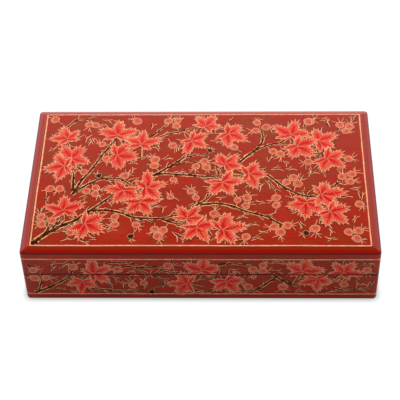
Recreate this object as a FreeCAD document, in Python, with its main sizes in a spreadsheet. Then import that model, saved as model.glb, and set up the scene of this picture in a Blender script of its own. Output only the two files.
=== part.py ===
"""Kashmiri papier-mâché box: a low rectangular box with a hinged, flush lid whose top has a shallow bevel.

The box is a wooden core of thin boards, pinned with headless brads, under a seamless shell of
papier-mâché on the base and another on the lid. Velvet-covered linings stand in the base and rise
above its rim, so that they steer the lid as it closes. Two brass hinges are nailed to the back.

Frame: millimetres, +X along the length, +Y to the back, +Z up, with the origin under the middle of
the box on the surface that it stands on.
"""

import FreeCAD, Part
import math
import os
import re
import Sketcher

# Driving sizes in millimetres: alias, value, what it is
SIZES = (
    ("box_width", 228.0, "outside length of the closed box, left to right"),
    ("box_depth", 131.0, "outside depth of the closed box, front to back"),
    ("base_height", 24.3, "base, from the surface it stands on to its rim"),
    ("seam_gap", 0.3, "gap between the rims of base and lid"),
    ("lid_height", 21.3, "lid, from its rim to its flat top"),
    ("shell_wall", 1.2, "papier-mâché over the wood"),
    ("corner_radius", 2.4, "upright corners of the shells"),
    ("foot_radius", 0.7, "lower edge of the base shell"),
    ("rim_radius", 0.35, "outer edges of the two rims"),
    ("bevel_width", 5.0, "bevel round the lid's top, seen from above"),
    ("bevel_height", 1.8, "bevel round the lid's top, seen from the side"),
    ("bevel_corner_radius", 0.5, "corners of the flat inside the bevel"),
    ("arris_radius", 0.5, "edge between the bevel and the lid's sides"),
    ("wall_board", 5.0, "thickness of the base's side boards"),
    ("lip_clearance", 0.4, "air between the raised linings and the lid's boards"),
    ("floor_board", 4.0, "thickness of the base's floor board"),
    ("top_board", 4.5, "thickness of the lid's top board"),
    ("brad_radius", 0.5, "wire brads that pin the boards"),
    ("brad_bite", 8.0, "how far a brad goes into the second board"),
    ("brad_fit", 0.03, "air round a brad"),
    ("lining_card", 1.6, "velvet-covered card round the base's inside"),
    ("lining_rise", 2.6, "how far the linings stand above the base's rim"),
    ("lining_radius", 0.5, "rounded top of the linings"),
    ("floor_pad", 2.0, "thickness of the velvet pad on the floor"),
    ("ceiling_pad", 2.0, "thickness of the velvet pad inside the lid"),
    ("pad_margin", 0.3, "air round the velvet pads"),
    ("pad_radius", 0.9, "rounded edge of the velvet pads"),
    ("pad_corner_radius", 1.5, "corners of the velvet pads, seen from above"),
    ("hinge_inset", 46.0, "from the end of the box to the middle of a hinge"),
    ("hinge_length", 22.0, "hinge leaf along the box"),
    ("leaf_height", 8.5, "hinge leaf from the pin's axis to its far edge"),
    ("leaf_thickness", 0.7, "brass sheet of the hinge leaves"),
    ("leaf_standoff", 0.15, "air between the knuckles and the back of the box"),
    ("knuckle_radius", 1.4, "outside of the rolled knuckles"),
    ("knuckle_gap", 0.15, "air between knuckles that turn on each other"),
    ("pin_radius", 0.65, "hinge pin"),
    ("pin_fit", 0.05, "air round the hinge pin"),
    ("pin_head_radius", 1.1, "peened ends of the hinge pin"),
    ("pin_head_height", 0.4, "peened ends of the hinge pin, along it"),
    ("nail_radius", 0.5, "brass hinge nails"),
    ("nail_fit", 0.03, "air round a hinge nail"),
    ("nail_head_radius", 1.15, "hinge nail's head where it meets the leaf"),
    ("nail_crown_radius", 0.55, "hinge nail's head at its top"),
    ("nail_head_height", 0.5, "hinge nail's head"),
    ("overrun", 1.0, "how far a cut runs past the face that it opens"),
)

KNUCKLES = 5
NAIL_BITE_SHARE = 0.7  # of the lid's board
NAIL_ROW_SHARE = 0.64  # of the leaf's height, out from the axis
NAIL_PLACE_SHARES = (-0.34, 0.0, 0.34)  # of the leaf's length
CORNER_BRAD_SHARES = (0.3, 0.7)  # of the side boards' height
LONG_BRAD_SHARES = (-0.3, 0.0, 0.3)  # of the long boards' length
SHORT_BRAD_SHARES = (0.0,)  # of the short boards' length

# Sizes and places that follow from the driving sizes
CORE_WIDTH = "(box_width - 2 * shell_wall)"
CORE_DEPTH = "(box_depth - 2 * shell_wall)"
FLOOR_TOP = "(shell_wall + floor_board)"
BASE_WALL_HEIGHT = f"(base_height - {FLOOR_TOP})"
LID_RIM = "(base_height + seam_gap)"
LID_TOP = f"({LID_RIM} + lid_height)"
LID_BOARD = "(wall_board - lip_clearance)"
CEILING = f"({LID_TOP} - shell_wall - top_board)"
LID_WALL_HEIGHT = f"({CEILING} - {LID_RIM})"
BEVEL_SLOPE = "(bevel_height / bevel_width)"
CORE_BEVEL_HEIGHT = (
    f"(bevel_height * (1 - shell_wall / bevel_width)"
    f" + shell_wall * (sqrt(1 + {BEVEL_SLOPE}^2) - 1))"
)
CORE_BEVEL_WIDTH = f"({CORE_BEVEL_HEIGHT} / {BEVEL_SLOPE})"
WELL_WIDTH = f"({CORE_WIDTH} - 2 * wall_board)"
WELL_DEPTH = f"({CORE_DEPTH} - 2 * wall_board)"
AXIS_Y = "(box_depth / 2 + leaf_standoff + knuckle_radius)"
AXIS_Z = "(base_height + seam_gap / 2)"
HINGE_X = "(box_width / 2 - hinge_inset)"
KNUCKLE_PITCH = f"(hinge_length / {KNUCKLES})"
NAIL_BITE = f"({NAIL_BITE_SHARE} * {LID_BOARD})"
NAIL_ROW = f"({NAIL_ROW_SHARE} * leaf_height)"
BASE_NAIL_Z = f"({AXIS_Z} - {NAIL_ROW})"
LID_NAIL_Z = f"({AXIS_Z} + {NAIL_ROW})"

ALIASES = {alias for alias, _, _ in SIZES}
doc = FreeCAD.newDocument("papier_mache_box")


def make_sheet():
    """Writes the driving sizes to the document's sheet, one to a row."""
    sheet = doc.addObject("Spreadsheet::Sheet", "Sizes")
    for row, (alias, value, note) in enumerate(SIZES, start=1):
        sheet.set(f"A{row}", note)
        sheet.set(f"B{row}", str(value))
        sheet.setAlias(f"B{row}", alias)
    doc.recompute()
    return sheet


sizes = make_sheet()


def formula(text):
    """An expression of the document, from one written with the sheet's aliases alone."""
    return re.sub(
        r"[a-z_]+", lambda word: f"Sizes.{word[0]}" if word[0] in ALIASES else word[0], text
    )


def number(text):
    """What an expression comes to now."""
    return float(sizes.evalExpression(formula(text)))


def bind(thing, bindings):
    """Ties properties of an object to expressions."""
    for name, text in bindings.items():
        thing.setExpression(name, formula(text))


def put(thing, x="0", y="0", z="0"):
    """Ties an object's place to expressions."""
    bind(thing, {"Placement.Base.x": x, "Placement.Base.y": y, "Placement.Base.z": z})


def new_body(label):
    """An empty body with its label."""
    body = doc.addObject("PartDesign::Body", label)
    body.Label = label
    return body


def new_sketch(body, plane, offset="0"):
    """A sketch on one of the body's own planes, moved along the plane's normal."""
    sketch = body.newObject("Sketcher::SketchObject", f"{body.Name}_sketch")
    support = [f for f in body.Origin.OriginFeatures if f.Role == plane][0]
    sketch.AttachmentSupport = [(support, "")]
    sketch.MapMode = "FlatFace"
    bind(sketch, {"AttachmentOffset.Base.z": offset})
    return sketch


def pin_size(sketch, kind, places, text):
    """A sized constraint whose value is an expression."""
    index = sketch.addConstraint(Sketcher.Constraint(kind, *places, number(text)))
    bind(sketch, {f"Constraints[{index}]": text})


def rectangle(sketch, width, depth):
    """A rectangle round the sketch's origin."""
    x, y = number(width) / 2, number(depth) / 2
    corners = [FreeCAD.Vector(*c, 0) for c in ((-x, -y), (x, -y), (x, y), (-x, y))]
    low, right, high, left = [
        sketch.addGeometry(Part.LineSegment(corners[i], corners[(i + 1) % len(corners)]))
        for i in range(len(corners))
    ]
    for line, after in ((low, right), (right, high), (high, left), (left, low)):
        sketch.addConstraint(Sketcher.Constraint("Coincident", line, 2, after, 1))
    for line in (low, high):
        sketch.addConstraint(Sketcher.Constraint("Horizontal", line))
    for line in (right, left):
        sketch.addConstraint(Sketcher.Constraint("Vertical", line))
    sketch.addConstraint(Sketcher.Constraint("Symmetric", low, 1, high, 1, -1, 1))
    pin_size(sketch, "DistanceX", (low, 1, low, 2), width)
    pin_size(sketch, "DistanceY", (right, 1, right, 2), depth)


def rounded_rectangle(sketch, width, depth, radius):
    """A rectangle with rounded corners round the sketch's origin."""
    x, y, r = number(width) / 2, number(depth) / 2, number(radius)
    ends = (
        ((r - x, -y), (x - r, -y)),
        ((x, r - y), (x, y - r)),
        ((x - r, y), (r - x, y)),
        ((-x, y - r), (-x, r - y)),
    )
    centres = ((x - r, r - y), (x - r, y - r), (r - x, y - r), (r - x, r - y))
    lines = [
        sketch.addGeometry(Part.LineSegment(FreeCAD.Vector(*a, 0), FreeCAD.Vector(*b, 0)))
        for a, b in ends
    ]
    quarter = math.pi / 2
    arcs = []
    for turn, centre in enumerate(centres, start=-1):
        circle = Part.Circle(FreeCAD.Vector(*centre, 0), FreeCAD.Vector(0, 0, 1), r)
        arc = Part.ArcOfCircle(circle, turn * quarter, (turn + 1) * quarter)
        arcs.append(sketch.addGeometry(arc))
    for i, arc in enumerate(arcs):
        following = lines[(i + 1) % len(lines)]
        sketch.addConstraint(Sketcher.Constraint("Tangent", lines[i], 2, arc, 1))
        sketch.addConstraint(Sketcher.Constraint("Tangent", arc, 2, following, 1))
    low, right, high, left = lines
    sketch.addConstraint(Sketcher.Constraint("Horizontal", high))
    sketch.addConstraint(Sketcher.Constraint("Vertical", left))
    sketch.addConstraint(Sketcher.Constraint("Symmetric", low, 1, low, 2, -2))
    sketch.addConstraint(Sketcher.Constraint("Symmetric", right, 1, right, 2, -1))
    for arc in arcs[1:]:
        sketch.addConstraint(Sketcher.Constraint("Equal", arcs[0], arc))
    pin_size(sketch, "Radius", (arcs[0],), radius)
    pin_size(sketch, "DistanceX", (left, 1, right, 1), width)
    pin_size(sketch, "DistanceY", (low, 1, high, 1), depth)


def circles(sketch, places, radius):
    """Circles of one radius, each at a pair of expressions."""
    for x, y in places:
        centre = FreeCAD.Vector(number(x), number(y), 0)
        circle = Part.Circle(centre, FreeCAD.Vector(0, 0, 1), number(radius))
        index = sketch.addGeometry(circle)
        pin_size(sketch, "DistanceX", (-1, 1, index, 3), x)
        pin_size(sketch, "DistanceY", (-1, 1, index, 3), y)
        pin_size(sketch, "Radius", (index,), radius)


def add_feature(body, kind, profile, bindings, **settings):
    """A feature of the body that reads a sketch."""
    feature = body.newObject(f"PartDesign::{kind}", f"{body.Name}_{kind.lower()}")
    feature.Profile = profile
    for name, value in settings.items():
        setattr(feature, name, value)
    bind(feature, bindings)
    return feature


def drill(body, plane, offset, places, radius, depth, along_normal):
    """Round holes of one depth, cut from a plane of the body."""
    sketch = new_sketch(body, plane, offset)
    circles(sketch, places, radius)
    add_feature(body, "Pocket", sketch, {"Length": depth}, Type="Length", Reversed=along_normal)


def edges_at_height(shape, height):
    """Names of the edges that lie wholly at one height."""
    near = FreeCAD.Base.Precision.approximation()
    return [
        f"Edge{i}"
        for i, edge in enumerate(shape.Edges, start=1)
        if all(abs(z - height) <= near for z in (edge.BoundBox.ZMin, edge.BoundBox.ZMax))
    ]


def soften(body, height, radius):
    """Rounds every edge of the body that lies at one height."""
    doc.recompute()
    base = body.Tip
    fillet = body.newObject("PartDesign::Fillet", f"{body.Name}_fillet")
    fillet.Base = (base, edges_at_height(base.Shape, number(height)))
    bind(fillet, {"Radius": radius})
    return fillet


def board(label, width, depth, height, x="0", y="0", z="0"):
    """A plain board, its own origin under its middle."""
    body = new_body(label)
    sketch = new_sketch(body, "XY_Plane")
    rectangle(sketch, width, depth)
    add_feature(body, "Pad", sketch, {"Length": height})
    put(body, x, y, z)
    return body


def bevelled_pad(body, outline, inset_outline, straight_height, bevel_height):
    """An upright block that narrows at its top through a flat bevel."""
    lower = new_sketch(body, "XY_Plane")
    outline(lower)
    add_feature(body, "Pad", lower, {"Length": straight_height})
    middle = new_sketch(body, "XY_Plane", straight_height)
    outline(middle)
    upper = new_sketch(body, "XY_Plane", f"{straight_height} + {bevel_height}")
    inset_outline(upper)
    add_feature(body, "AdditiveLoft", middle, {}, Sections=[upper], Ruled=True)


def make_base_shell():
    """The base's papier-mâché: an open tray with soft outer edges."""
    body = new_body("base_paper_shell")
    outer = new_sketch(body, "XY_Plane")
    rounded_rectangle(outer, "box_width", "box_depth", "corner_radius")
    add_feature(body, "Pad", outer, {"Length": "base_height"})
    soften(body, "0", "foot_radius")
    soften(body, "base_height", "rim_radius")
    cavity = new_sketch(body, "XY_Plane", "shell_wall")
    rectangle(cavity, CORE_WIDTH, CORE_DEPTH)
    add_feature(
        body, "Pocket", cavity, {"Length": "base_height + overrun"}, Type="Length", Reversed=True
    )
    drill_for_nails(body, BASE_NAIL_Z, "-box_depth / 2", "shell_wall + overrun")
    return body


def make_lid_shell():
    """The lid's papier-mâché: a cap with a shallow bevel round its flat top."""
    body = new_body("lid_paper_shell")
    bevelled_pad(
        body,
        lambda s: rounded_rectangle(s, "box_width", "box_depth", "corner_radius"),
        lambda s: rounded_rectangle(
            s,
            "(box_width - 2 * bevel_width)",
            "(box_depth - 2 * bevel_width)",
            "bevel_corner_radius",
        ),
        "(lid_height - bevel_height)",
        "bevel_height",
    )
    soften(body, "lid_height - bevel_height", "arris_radius")
    soften(body, "0", "rim_radius")
    straight = f"(lid_height - shell_wall - {CORE_BEVEL_HEIGHT})"
    cavity = new_sketch(body, "XY_Plane")
    rectangle(cavity, CORE_WIDTH, CORE_DEPTH)
    add_feature(body, "Pocket", cavity, {"Length": straight}, Type="Length", Reversed=True)
    middle = new_sketch(body, "XY_Plane", straight)
    rectangle(middle, CORE_WIDTH, CORE_DEPTH)
    upper = new_sketch(body, "XY_Plane", "lid_height - shell_wall")
    inset_core(upper)
    add_feature(body, "SubtractiveLoft", middle, {}, Sections=[upper], Ruled=True)
    drill_for_nails(body, f"({LID_NAIL_Z} - {LID_RIM})", "-box_depth / 2", "shell_wall + overrun")
    put(body, z=LID_RIM)
    return body


def inset_core(sketch):
    """The core's outline at its very top, inside its bevel."""
    rectangle(
        sketch,
        f"({CORE_WIDTH} - 2 * {CORE_BEVEL_WIDTH})",
        f"({CORE_DEPTH} - 2 * {CORE_BEVEL_WIDTH})",
    )


def nail_places(height):
    """Where the nails of both hinges are on the back of the box, seen along Y."""
    return [
        (f"{side} * {HINGE_X} + {share} * hinge_length", height)
        for side in (-1, 1)
        for share in NAIL_PLACE_SHARES
    ]


def drill_for_nails(body, height, offset, depth):
    """The nail holes of both hinges through a back face."""
    drill(
        body, "XZ_Plane", offset, nail_places(height), "(nail_radius + nail_fit)", depth, True
    )


def brad_line(length, shares):
    """Places along a board's length."""
    return [f"({share} * {length})" for share in shares]


def make_walls(part, thickness, bottom, height, drilled_from_top):
    """Four side boards, butted at the corners, with the holes that their brads fill."""
    hole = "(brad_radius + brad_fit)"
    side_length = f"({CORE_DEPTH} - 2 * {thickness})"
    rows = [f"({share} * {height})" for share in CORNER_BRAD_SHARES]
    corner_x = f"({CORE_WIDTH} / 2 - {thickness} / 2)"
    end_offset = height if drilled_from_top else "0"
    walls = []
    for name, side in (("front", -1), ("back", 1)):
        y = f"{side} * ({CORE_DEPTH} / 2 - {thickness} / 2)"
        wall = board(f"{part}_{name}_wall", CORE_WIDTH, thickness, height, y=y, z=bottom)
        ends = [(f"{end} * {corner_x}", row) for end in (-1, 1) for row in rows]
        drill(wall, "XZ_Plane", f"{thickness} / 2", ends, hole, thickness, False)
        line = [(x, "0") for x in brad_line(CORE_WIDTH, LONG_BRAD_SHARES)]
        drill(wall, "XY_Plane", end_offset, line, hole, "brad_bite", not drilled_from_top)
        walls.append(wall)
    for name, side in (("left", -1), ("right", 1)):
        x = f"{side} * {corner_x}"
        wall = board(f"{part}_{name}_wall", thickness, side_length, height, x=x, z=bottom)
        ends = [("0", row) for row in rows]
        drill(wall, "XZ_Plane", f"{side_length} / 2", ends, hole, "brad_bite", False)
        drill(wall, "XZ_Plane", f"-{side_length} / 2", ends, hole, "brad_bite", True)
        line = [("0", y) for y in brad_line(side_length, SHORT_BRAD_SHARES)]
        drill(wall, "XY_Plane", end_offset, line, hole, "brad_bite", not drilled_from_top)
        walls.append(wall)
    back = walls[1]
    nail_row = f"({BASE_NAIL_Z} - {bottom})" if part == "base" else f"({LID_NAIL_Z} - {bottom})"
    drill_for_nails(back, nail_row, f"-{thickness} / 2", NAIL_BITE)
    return walls


def upright_brad_places(thickness):
    """Where brads go through the floor or the top into the edges of the side boards."""
    front_y = f"({CORE_DEPTH} / 2 - {thickness} / 2)"
    side_x = f"({CORE_WIDTH} / 2 - {thickness} / 2)"
    side_length = f"({CORE_DEPTH} - 2 * {thickness})"
    long_places = [
        (x, f"{side} * {front_y}")
        for side in (-1, 1)
        for x in brad_line(CORE_WIDTH, LONG_BRAD_SHARES)
    ]
    short_places = [
        (f"{side} * {side_x}", y)
        for side in (-1, 1)
        for y in brad_line(side_length, SHORT_BRAD_SHARES)
    ]
    return long_places + short_places


def group(label, members):
    """Separate solids under one name."""
    gathered = doc.addObject("Part::Compound", label)
    gathered.Label = label
    gathered.Links = members
    return gathered


def make_upright_brads(label, thickness, bottom, length):
    """Brads that stand upright and pin the floor or the top to the side boards."""
    brads = []
    for x, y in upright_brad_places(thickness):
        brad = doc.addObject("Part::Cylinder", "brad")
        bind(brad, {"Radius": "brad_radius", "Height": length})
        put(brad, x, y, bottom)
        brads.append(brad)
    return group(label, brads)


def make_corner_brads(label, thickness, bottom, height):
    """Brads that lie front to back and pin the long boards to the ends of the short ones."""
    brads = []
    corner_x = f"({CORE_WIDTH} / 2 - {thickness} / 2)"
    for side in (-1, 1):
        for end in (-1, 1):
            for share in CORNER_BRAD_SHARES:
                brad = doc.addObject("Part::Cylinder", "brad")
                bind(brad, {"Radius": "brad_radius", "Height": f"{thickness} + brad_bite"})
                brad.Placement.Rotation = FreeCAD.Rotation(
                    FreeCAD.Vector(0, 0, 1), FreeCAD.Vector(0, -side, 0)
                )
                put(
                    brad,
                    f"{end} * {corner_x}",
                    f"{side} * {CORE_DEPTH} / 2",
                    f"{bottom} + {share} * {height}",
                )
                brads.append(brad)
    return group(label, brads)


def make_floor_board():
    """The floor board under the base's side boards, with its brad holes."""
    floor = board("base_floor_board", CORE_WIDTH, CORE_DEPTH, "floor_board", z="shell_wall")
    hole = "(brad_radius + brad_fit)"
    drill(floor, "XY_Plane", "0", upright_brad_places("wall_board"), hole, "floor_board", True)
    return floor


def make_top_board():
    """The lid's top board, bevelled like the shell over it, with brad holes from below."""
    body = new_body("lid_top_board")
    straight = f"(top_board - {CORE_BEVEL_HEIGHT})"
    bevelled_pad(
        body,
        lambda s: rectangle(s, CORE_WIDTH, CORE_DEPTH),
        inset_core,
        straight,
        CORE_BEVEL_HEIGHT,
    )
    hole = "(brad_radius + brad_fit)"
    drill(body, "XY_Plane", "0", upright_brad_places(LID_BOARD), hole, straight, True)
    put(body, z=CEILING)
    return body


def make_linings():
    """Four velvet-covered cards that stand round the inside of the base."""
    height = f"({BASE_WALL_HEIGHT} + lining_rise)"
    side_length = f"({WELL_DEPTH} - 2 * lining_card)"
    linings = []
    for name, side in (("front", -1), ("back", 1)):
        y = f"{side} * ({WELL_DEPTH} / 2 - lining_card / 2)"
        card = board(f"base_{name}_lining", WELL_WIDTH, "lining_card", height, y=y, z=FLOOR_TOP)
        soften(card, height, "lining_radius")
        linings.append(card)
    for name, side in (("left", -1), ("right", 1)):
        x = f"{side} * ({WELL_WIDTH} / 2 - lining_card / 2)"
        card = board(f"base_{name}_lining", "lining_card", side_length, height, x=x, z=FLOOR_TOP)
        soften(card, height, "lining_radius")
        linings.append(card)
    return linings


def make_velvet_pad(label, width, depth, thickness, bottom, soft_face):
    """A thin pad with one rounded face."""
    body = new_body(label)
    sketch = new_sketch(body, "XY_Plane")
    rounded_rectangle(sketch, width, depth, "pad_corner_radius")
    add_feature(body, "Pad", sketch, {"Length": thickness})
    soften(body, soft_face, "pad_radius")
    put(body, z=bottom)
    return body


def make_velvet_pads():
    """The pad on the floor and the pad inside the lid."""
    floor_pad = make_velvet_pad(
        "base_floor_pad",
        f"({WELL_WIDTH} - 2 * lining_card - 2 * pad_margin)",
        f"({WELL_DEPTH} - 2 * lining_card - 2 * pad_margin)",
        "floor_pad",
        FLOOR_TOP,
        "floor_pad",
    )
    ceiling_pad = make_velvet_pad(
        "lid_ceiling_pad",
        f"({CORE_WIDTH} - 2 * {LID_BOARD} - 2 * pad_margin)",
        f"({CORE_DEPTH} - 2 * {LID_BOARD} - 2 * pad_margin)",
        "ceiling_pad",
        f"({CEILING} - ceiling_pad)",
        "0",
    )
    return [floor_pad, ceiling_pad]


def cylinder_along_x(radius, length, x, y, z):
    """A cylinder along X that starts at a place."""
    cylinder = doc.addObject("Part::Cylinder", "round")
    bind(cylinder, {"Radius": radius, "Height": length})
    cylinder.Placement.Rotation = FreeCAD.Rotation(
        FreeCAD.Vector(0, 0, 1), FreeCAD.Vector(1, 0, 0)
    )
    put(cylinder, x, y, z)
    return cylinder


def block(length, width, height, x, y, z):
    """A box from its low corner."""
    box = doc.addObject("Part::Box", "block")
    bind(box, {"Length": length, "Width": width, "Height": height})
    put(box, x, y, z)
    return box


def make_leaf(label, centre_x, upward, own_knuckles):
    """A brass leaf: a flat plate on the back of the box with knuckles rolled round the pin."""
    low_x = f"({centre_x} - hinge_length / 2)"
    root = "(knuckle_radius + knuckle_gap)"
    plate_height = f"(leaf_height - {root})"
    plate_z = f"({AXIS_Z} + {root})" if upward else f"({AXIS_Z} - leaf_height)"
    web_z = AXIS_Z if upward else f"({AXIS_Z} - {root})"
    pieces = [
        block("hinge_length", "leaf_thickness", plate_height, low_x, "box_depth / 2", plate_z)
    ]
    for k in own_knuckles:
        x = f"({low_x} + {k} * {KNUCKLE_PITCH} + knuckle_gap / 2)"
        length = f"({KNUCKLE_PITCH} - knuckle_gap)"
        pieces.append(cylinder_along_x("knuckle_radius", length, x, AXIS_Y, AXIS_Z))
        pieces.append(block(length, "leaf_thickness", root, x, "box_depth / 2", web_z))
    whole = doc.addObject("Part::MultiFuse", "leaf")
    whole.Shapes = pieces
    bore = cylinder_along_x(
        "(pin_radius + pin_fit)",
        "hinge_length + 2 * overrun",
        f"({low_x} - overrun)",
        AXIS_Y,
        AXIS_Z,
    )
    nail_z = LID_NAIL_Z if upward else BASE_NAIL_Z
    holes = [bore]
    for share in NAIL_PLACE_SHARES:
        hole = doc.addObject("Part::Cylinder", "hole")
        bind(hole, {"Radius": "nail_radius + nail_fit", "Height": "leaf_thickness + 2 * overrun"})
        hole.Placement.Rotation = FreeCAD.Rotation(
            FreeCAD.Vector(0, 0, 1), FreeCAD.Vector(0, 1, 0)
        )
        put(hole, f"{centre_x} + {share} * hinge_length", "box_depth / 2 - overrun", nail_z)
        holes.append(hole)
    cuts = doc.addObject("Part::MultiFuse", "cuts")
    cuts.Shapes = holes
    leaf = doc.addObject("Part::Cut", label)
    leaf.Label = label
    leaf.Base = whole
    leaf.Tool = cuts
    leaf.Refine = True
    return leaf


def make_pin(label, centre_x):
    """The hinge pin, with a peened head past each end of the knuckles."""
    low_x = f"({centre_x} - hinge_length / 2)"
    shaft = cylinder_along_x("pin_radius", "hinge_length", low_x, AXIS_Y, AXIS_Z)
    heads = [
        cylinder_along_x("pin_head_radius", "pin_head_height", x, AXIS_Y, AXIS_Z)
        for x in (f"({low_x} - pin_head_height)", f"({low_x} + hinge_length)")
    ]
    pin = doc.addObject("Part::MultiFuse", label)
    pin.Label = label
    pin.Shapes = [shaft, *heads]
    pin.Refine = True
    return pin


def make_nails(label, centre_x, height):
    """The brass nails of one leaf, each a shank and a head that narrows outwards."""
    outward = FreeCAD.Rotation(FreeCAD.Vector(0, 0, 1), FreeCAD.Vector(0, 1, 0))
    shank_length = f"(leaf_thickness + shell_wall + {NAIL_BITE})"
    leaf_face = "(box_depth / 2 + leaf_thickness)"
    nails = []
    for share in NAIL_PLACE_SHARES:
        x = f"{centre_x} + {share} * hinge_length"
        shank = doc.addObject("Part::Cylinder", "shank")
        bind(shank, {"Radius": "nail_radius", "Height": shank_length})
        shank.Placement.Rotation = outward
        put(shank, x, f"{leaf_face} - {shank_length}", height)
        head = doc.addObject("Part::Cone", "head")
        bind(
            head,
            {
                "Radius1": "nail_head_radius",
                "Radius2": "nail_crown_radius",
                "Height": "nail_head_height",
            },
        )
        head.Placement.Rotation = outward
        put(head, x, leaf_face, height)
        nail = doc.addObject("Part::MultiFuse", "nail")
        nail.Shapes = [shank, head]
        nails.append(nail)
    return group(label, nails)


def make_hinges():
    """Both hinges, each with its two leaves, its pin and its nails."""
    base_knuckles = range(0, KNUCKLES, 2)
    lid_knuckles = range(1, KNUCKLES, 2)
    parts = []
    for name, side in (("left", -1), ("right", 1)):
        x = f"({side} * {HINGE_X})"
        parts += [
            make_leaf(f"{name}_hinge_base_leaf", x, False, base_knuckles),
            make_leaf(f"{name}_hinge_lid_leaf", x, True, lid_knuckles),
            make_pin(f"{name}_hinge_pin", x),
            make_nails(f"{name}_hinge_base_nails", x, BASE_NAIL_Z),
            make_nails(f"{name}_hinge_lid_nails", x, LID_NAIL_Z),
        ]
    return parts


def make_all():
    """Every sub-part of the box."""
    core_bevel_floor = f"({LID_TOP} - shell_wall - {CORE_BEVEL_HEIGHT})"
    top_brad_length = f"(top_board - {CORE_BEVEL_HEIGHT} + brad_bite)"
    return [
        make_base_shell(),
        make_floor_board(),
        *make_walls("base", "wall_board", FLOOR_TOP, BASE_WALL_HEIGHT, False),
        make_corner_brads("base_corner_brads", "wall_board", FLOOR_TOP, BASE_WALL_HEIGHT),
        make_upright_brads(
            "base_floor_brads", "wall_board", "shell_wall", "floor_board + brad_bite"
        ),
        *make_linings(),
        make_lid_shell(),
        make_top_board(),
        *make_walls("lid", LID_BOARD, LID_RIM, LID_WALL_HEIGHT, True),
        make_corner_brads("lid_corner_brads", LID_BOARD, LID_RIM, LID_WALL_HEIGHT),
        make_upright_brads(
            "lid_top_brads", LID_BOARD, f"{core_bevel_floor} - {top_brad_length}", top_brad_length
        ),
        *make_velvet_pads(),
        *make_hinges(),
    ]


def check_document():
    """Stops if any object of the document failed."""
    failed = [o.Label for o in doc.Objects if {"Invalid", "Error"} & set(o.State)]
    if failed:
        raise RuntimeError(f"these objects failed: {failed}")


def export(parts):
    """Writes each sub-part to a file of its own, after checking its shape."""
    os.makedirs("parts", exist_ok=True)
    for part in parts:
        shape = part.Shape
        if shape.isNull() or not shape.isValid() or not shape.Solids:
            raise RuntimeError(f"{part.Label} has no valid solid")
        shape.exportStep(os.path.join("parts", f"{part.Label}.step"))
        print(f"{part.Label}: {len(shape.Solids)} solids, {shape.Volume:.1f} mm3")


parts = make_all()
doc.recompute()
check_document()
export(parts)
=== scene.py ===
"""Looks of a lacquered papier-mâché box: paint, gold lines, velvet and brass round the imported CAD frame.

Sizes are in millimetres and become metres where a mesh is finished. Each sub-assembly is a class that
holds its sizes and builds its own pieces; each finish is a small frozen class that builds one material.
"""
from __future__ import annotations

import logging
import math
import random
from dataclasses import dataclass, field
from enum import Enum
from itertools import pairwise
from typing import Any, Callable, Iterable, Sequence, Union

import bmesh
import bpy
from mathutils import Matrix, Vector, noise

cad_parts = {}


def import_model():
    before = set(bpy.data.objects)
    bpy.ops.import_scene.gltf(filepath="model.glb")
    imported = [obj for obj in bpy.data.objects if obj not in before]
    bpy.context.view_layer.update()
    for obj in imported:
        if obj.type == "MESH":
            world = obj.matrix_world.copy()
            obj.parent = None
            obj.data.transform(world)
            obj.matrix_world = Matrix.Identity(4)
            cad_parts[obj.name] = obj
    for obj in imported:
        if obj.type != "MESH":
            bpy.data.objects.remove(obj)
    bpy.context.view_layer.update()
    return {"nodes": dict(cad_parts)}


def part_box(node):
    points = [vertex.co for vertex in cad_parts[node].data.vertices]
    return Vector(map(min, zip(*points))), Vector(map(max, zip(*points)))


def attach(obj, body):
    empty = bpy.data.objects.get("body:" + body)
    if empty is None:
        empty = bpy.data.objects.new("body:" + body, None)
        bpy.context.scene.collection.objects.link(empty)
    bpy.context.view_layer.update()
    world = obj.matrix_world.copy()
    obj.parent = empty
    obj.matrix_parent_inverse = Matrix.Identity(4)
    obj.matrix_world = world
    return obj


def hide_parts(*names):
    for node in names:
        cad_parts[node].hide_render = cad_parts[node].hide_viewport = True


log = logging.getLogger("papier_mache_box")

MM = 0.001
MOTIF = "motif"  # vertex attribute: a motif's own coordinates, and a shade of its own
RIM = "rim"  # vertex attribute: 0 in a motif's middle, 1 on its edge
CUT_TOLERANCE = 1e-5  # millimetres: how near a cutting plane a vertex counts as on it
MERGE_DISTANCE = 1e-4  # millimetres
Colour = tuple[float, float, float]
Point = tuple[float, float]


def rgb(red: int, green: int, blue: int) -> Colour:
    """Turns screen values from 0 to 255 into a linear colour."""
    return tuple(
        c / 12.92 if c <= 0.04045 else ((c + 0.055) / 1.055) ** 2.4
        for c in (red / 255, green / 255, blue / 255)
    )


class Body(Enum):
    """The two bodies of the CAD frame."""

    BASE = "base"
    LID = "lid"


class Slot(Enum):
    """Two of the record's material slot names."""

    LACQUER = "red_lacquer"
    VELVET = "velvet"


# Shader maths: sockets that can be used in Python arithmetic.


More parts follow.
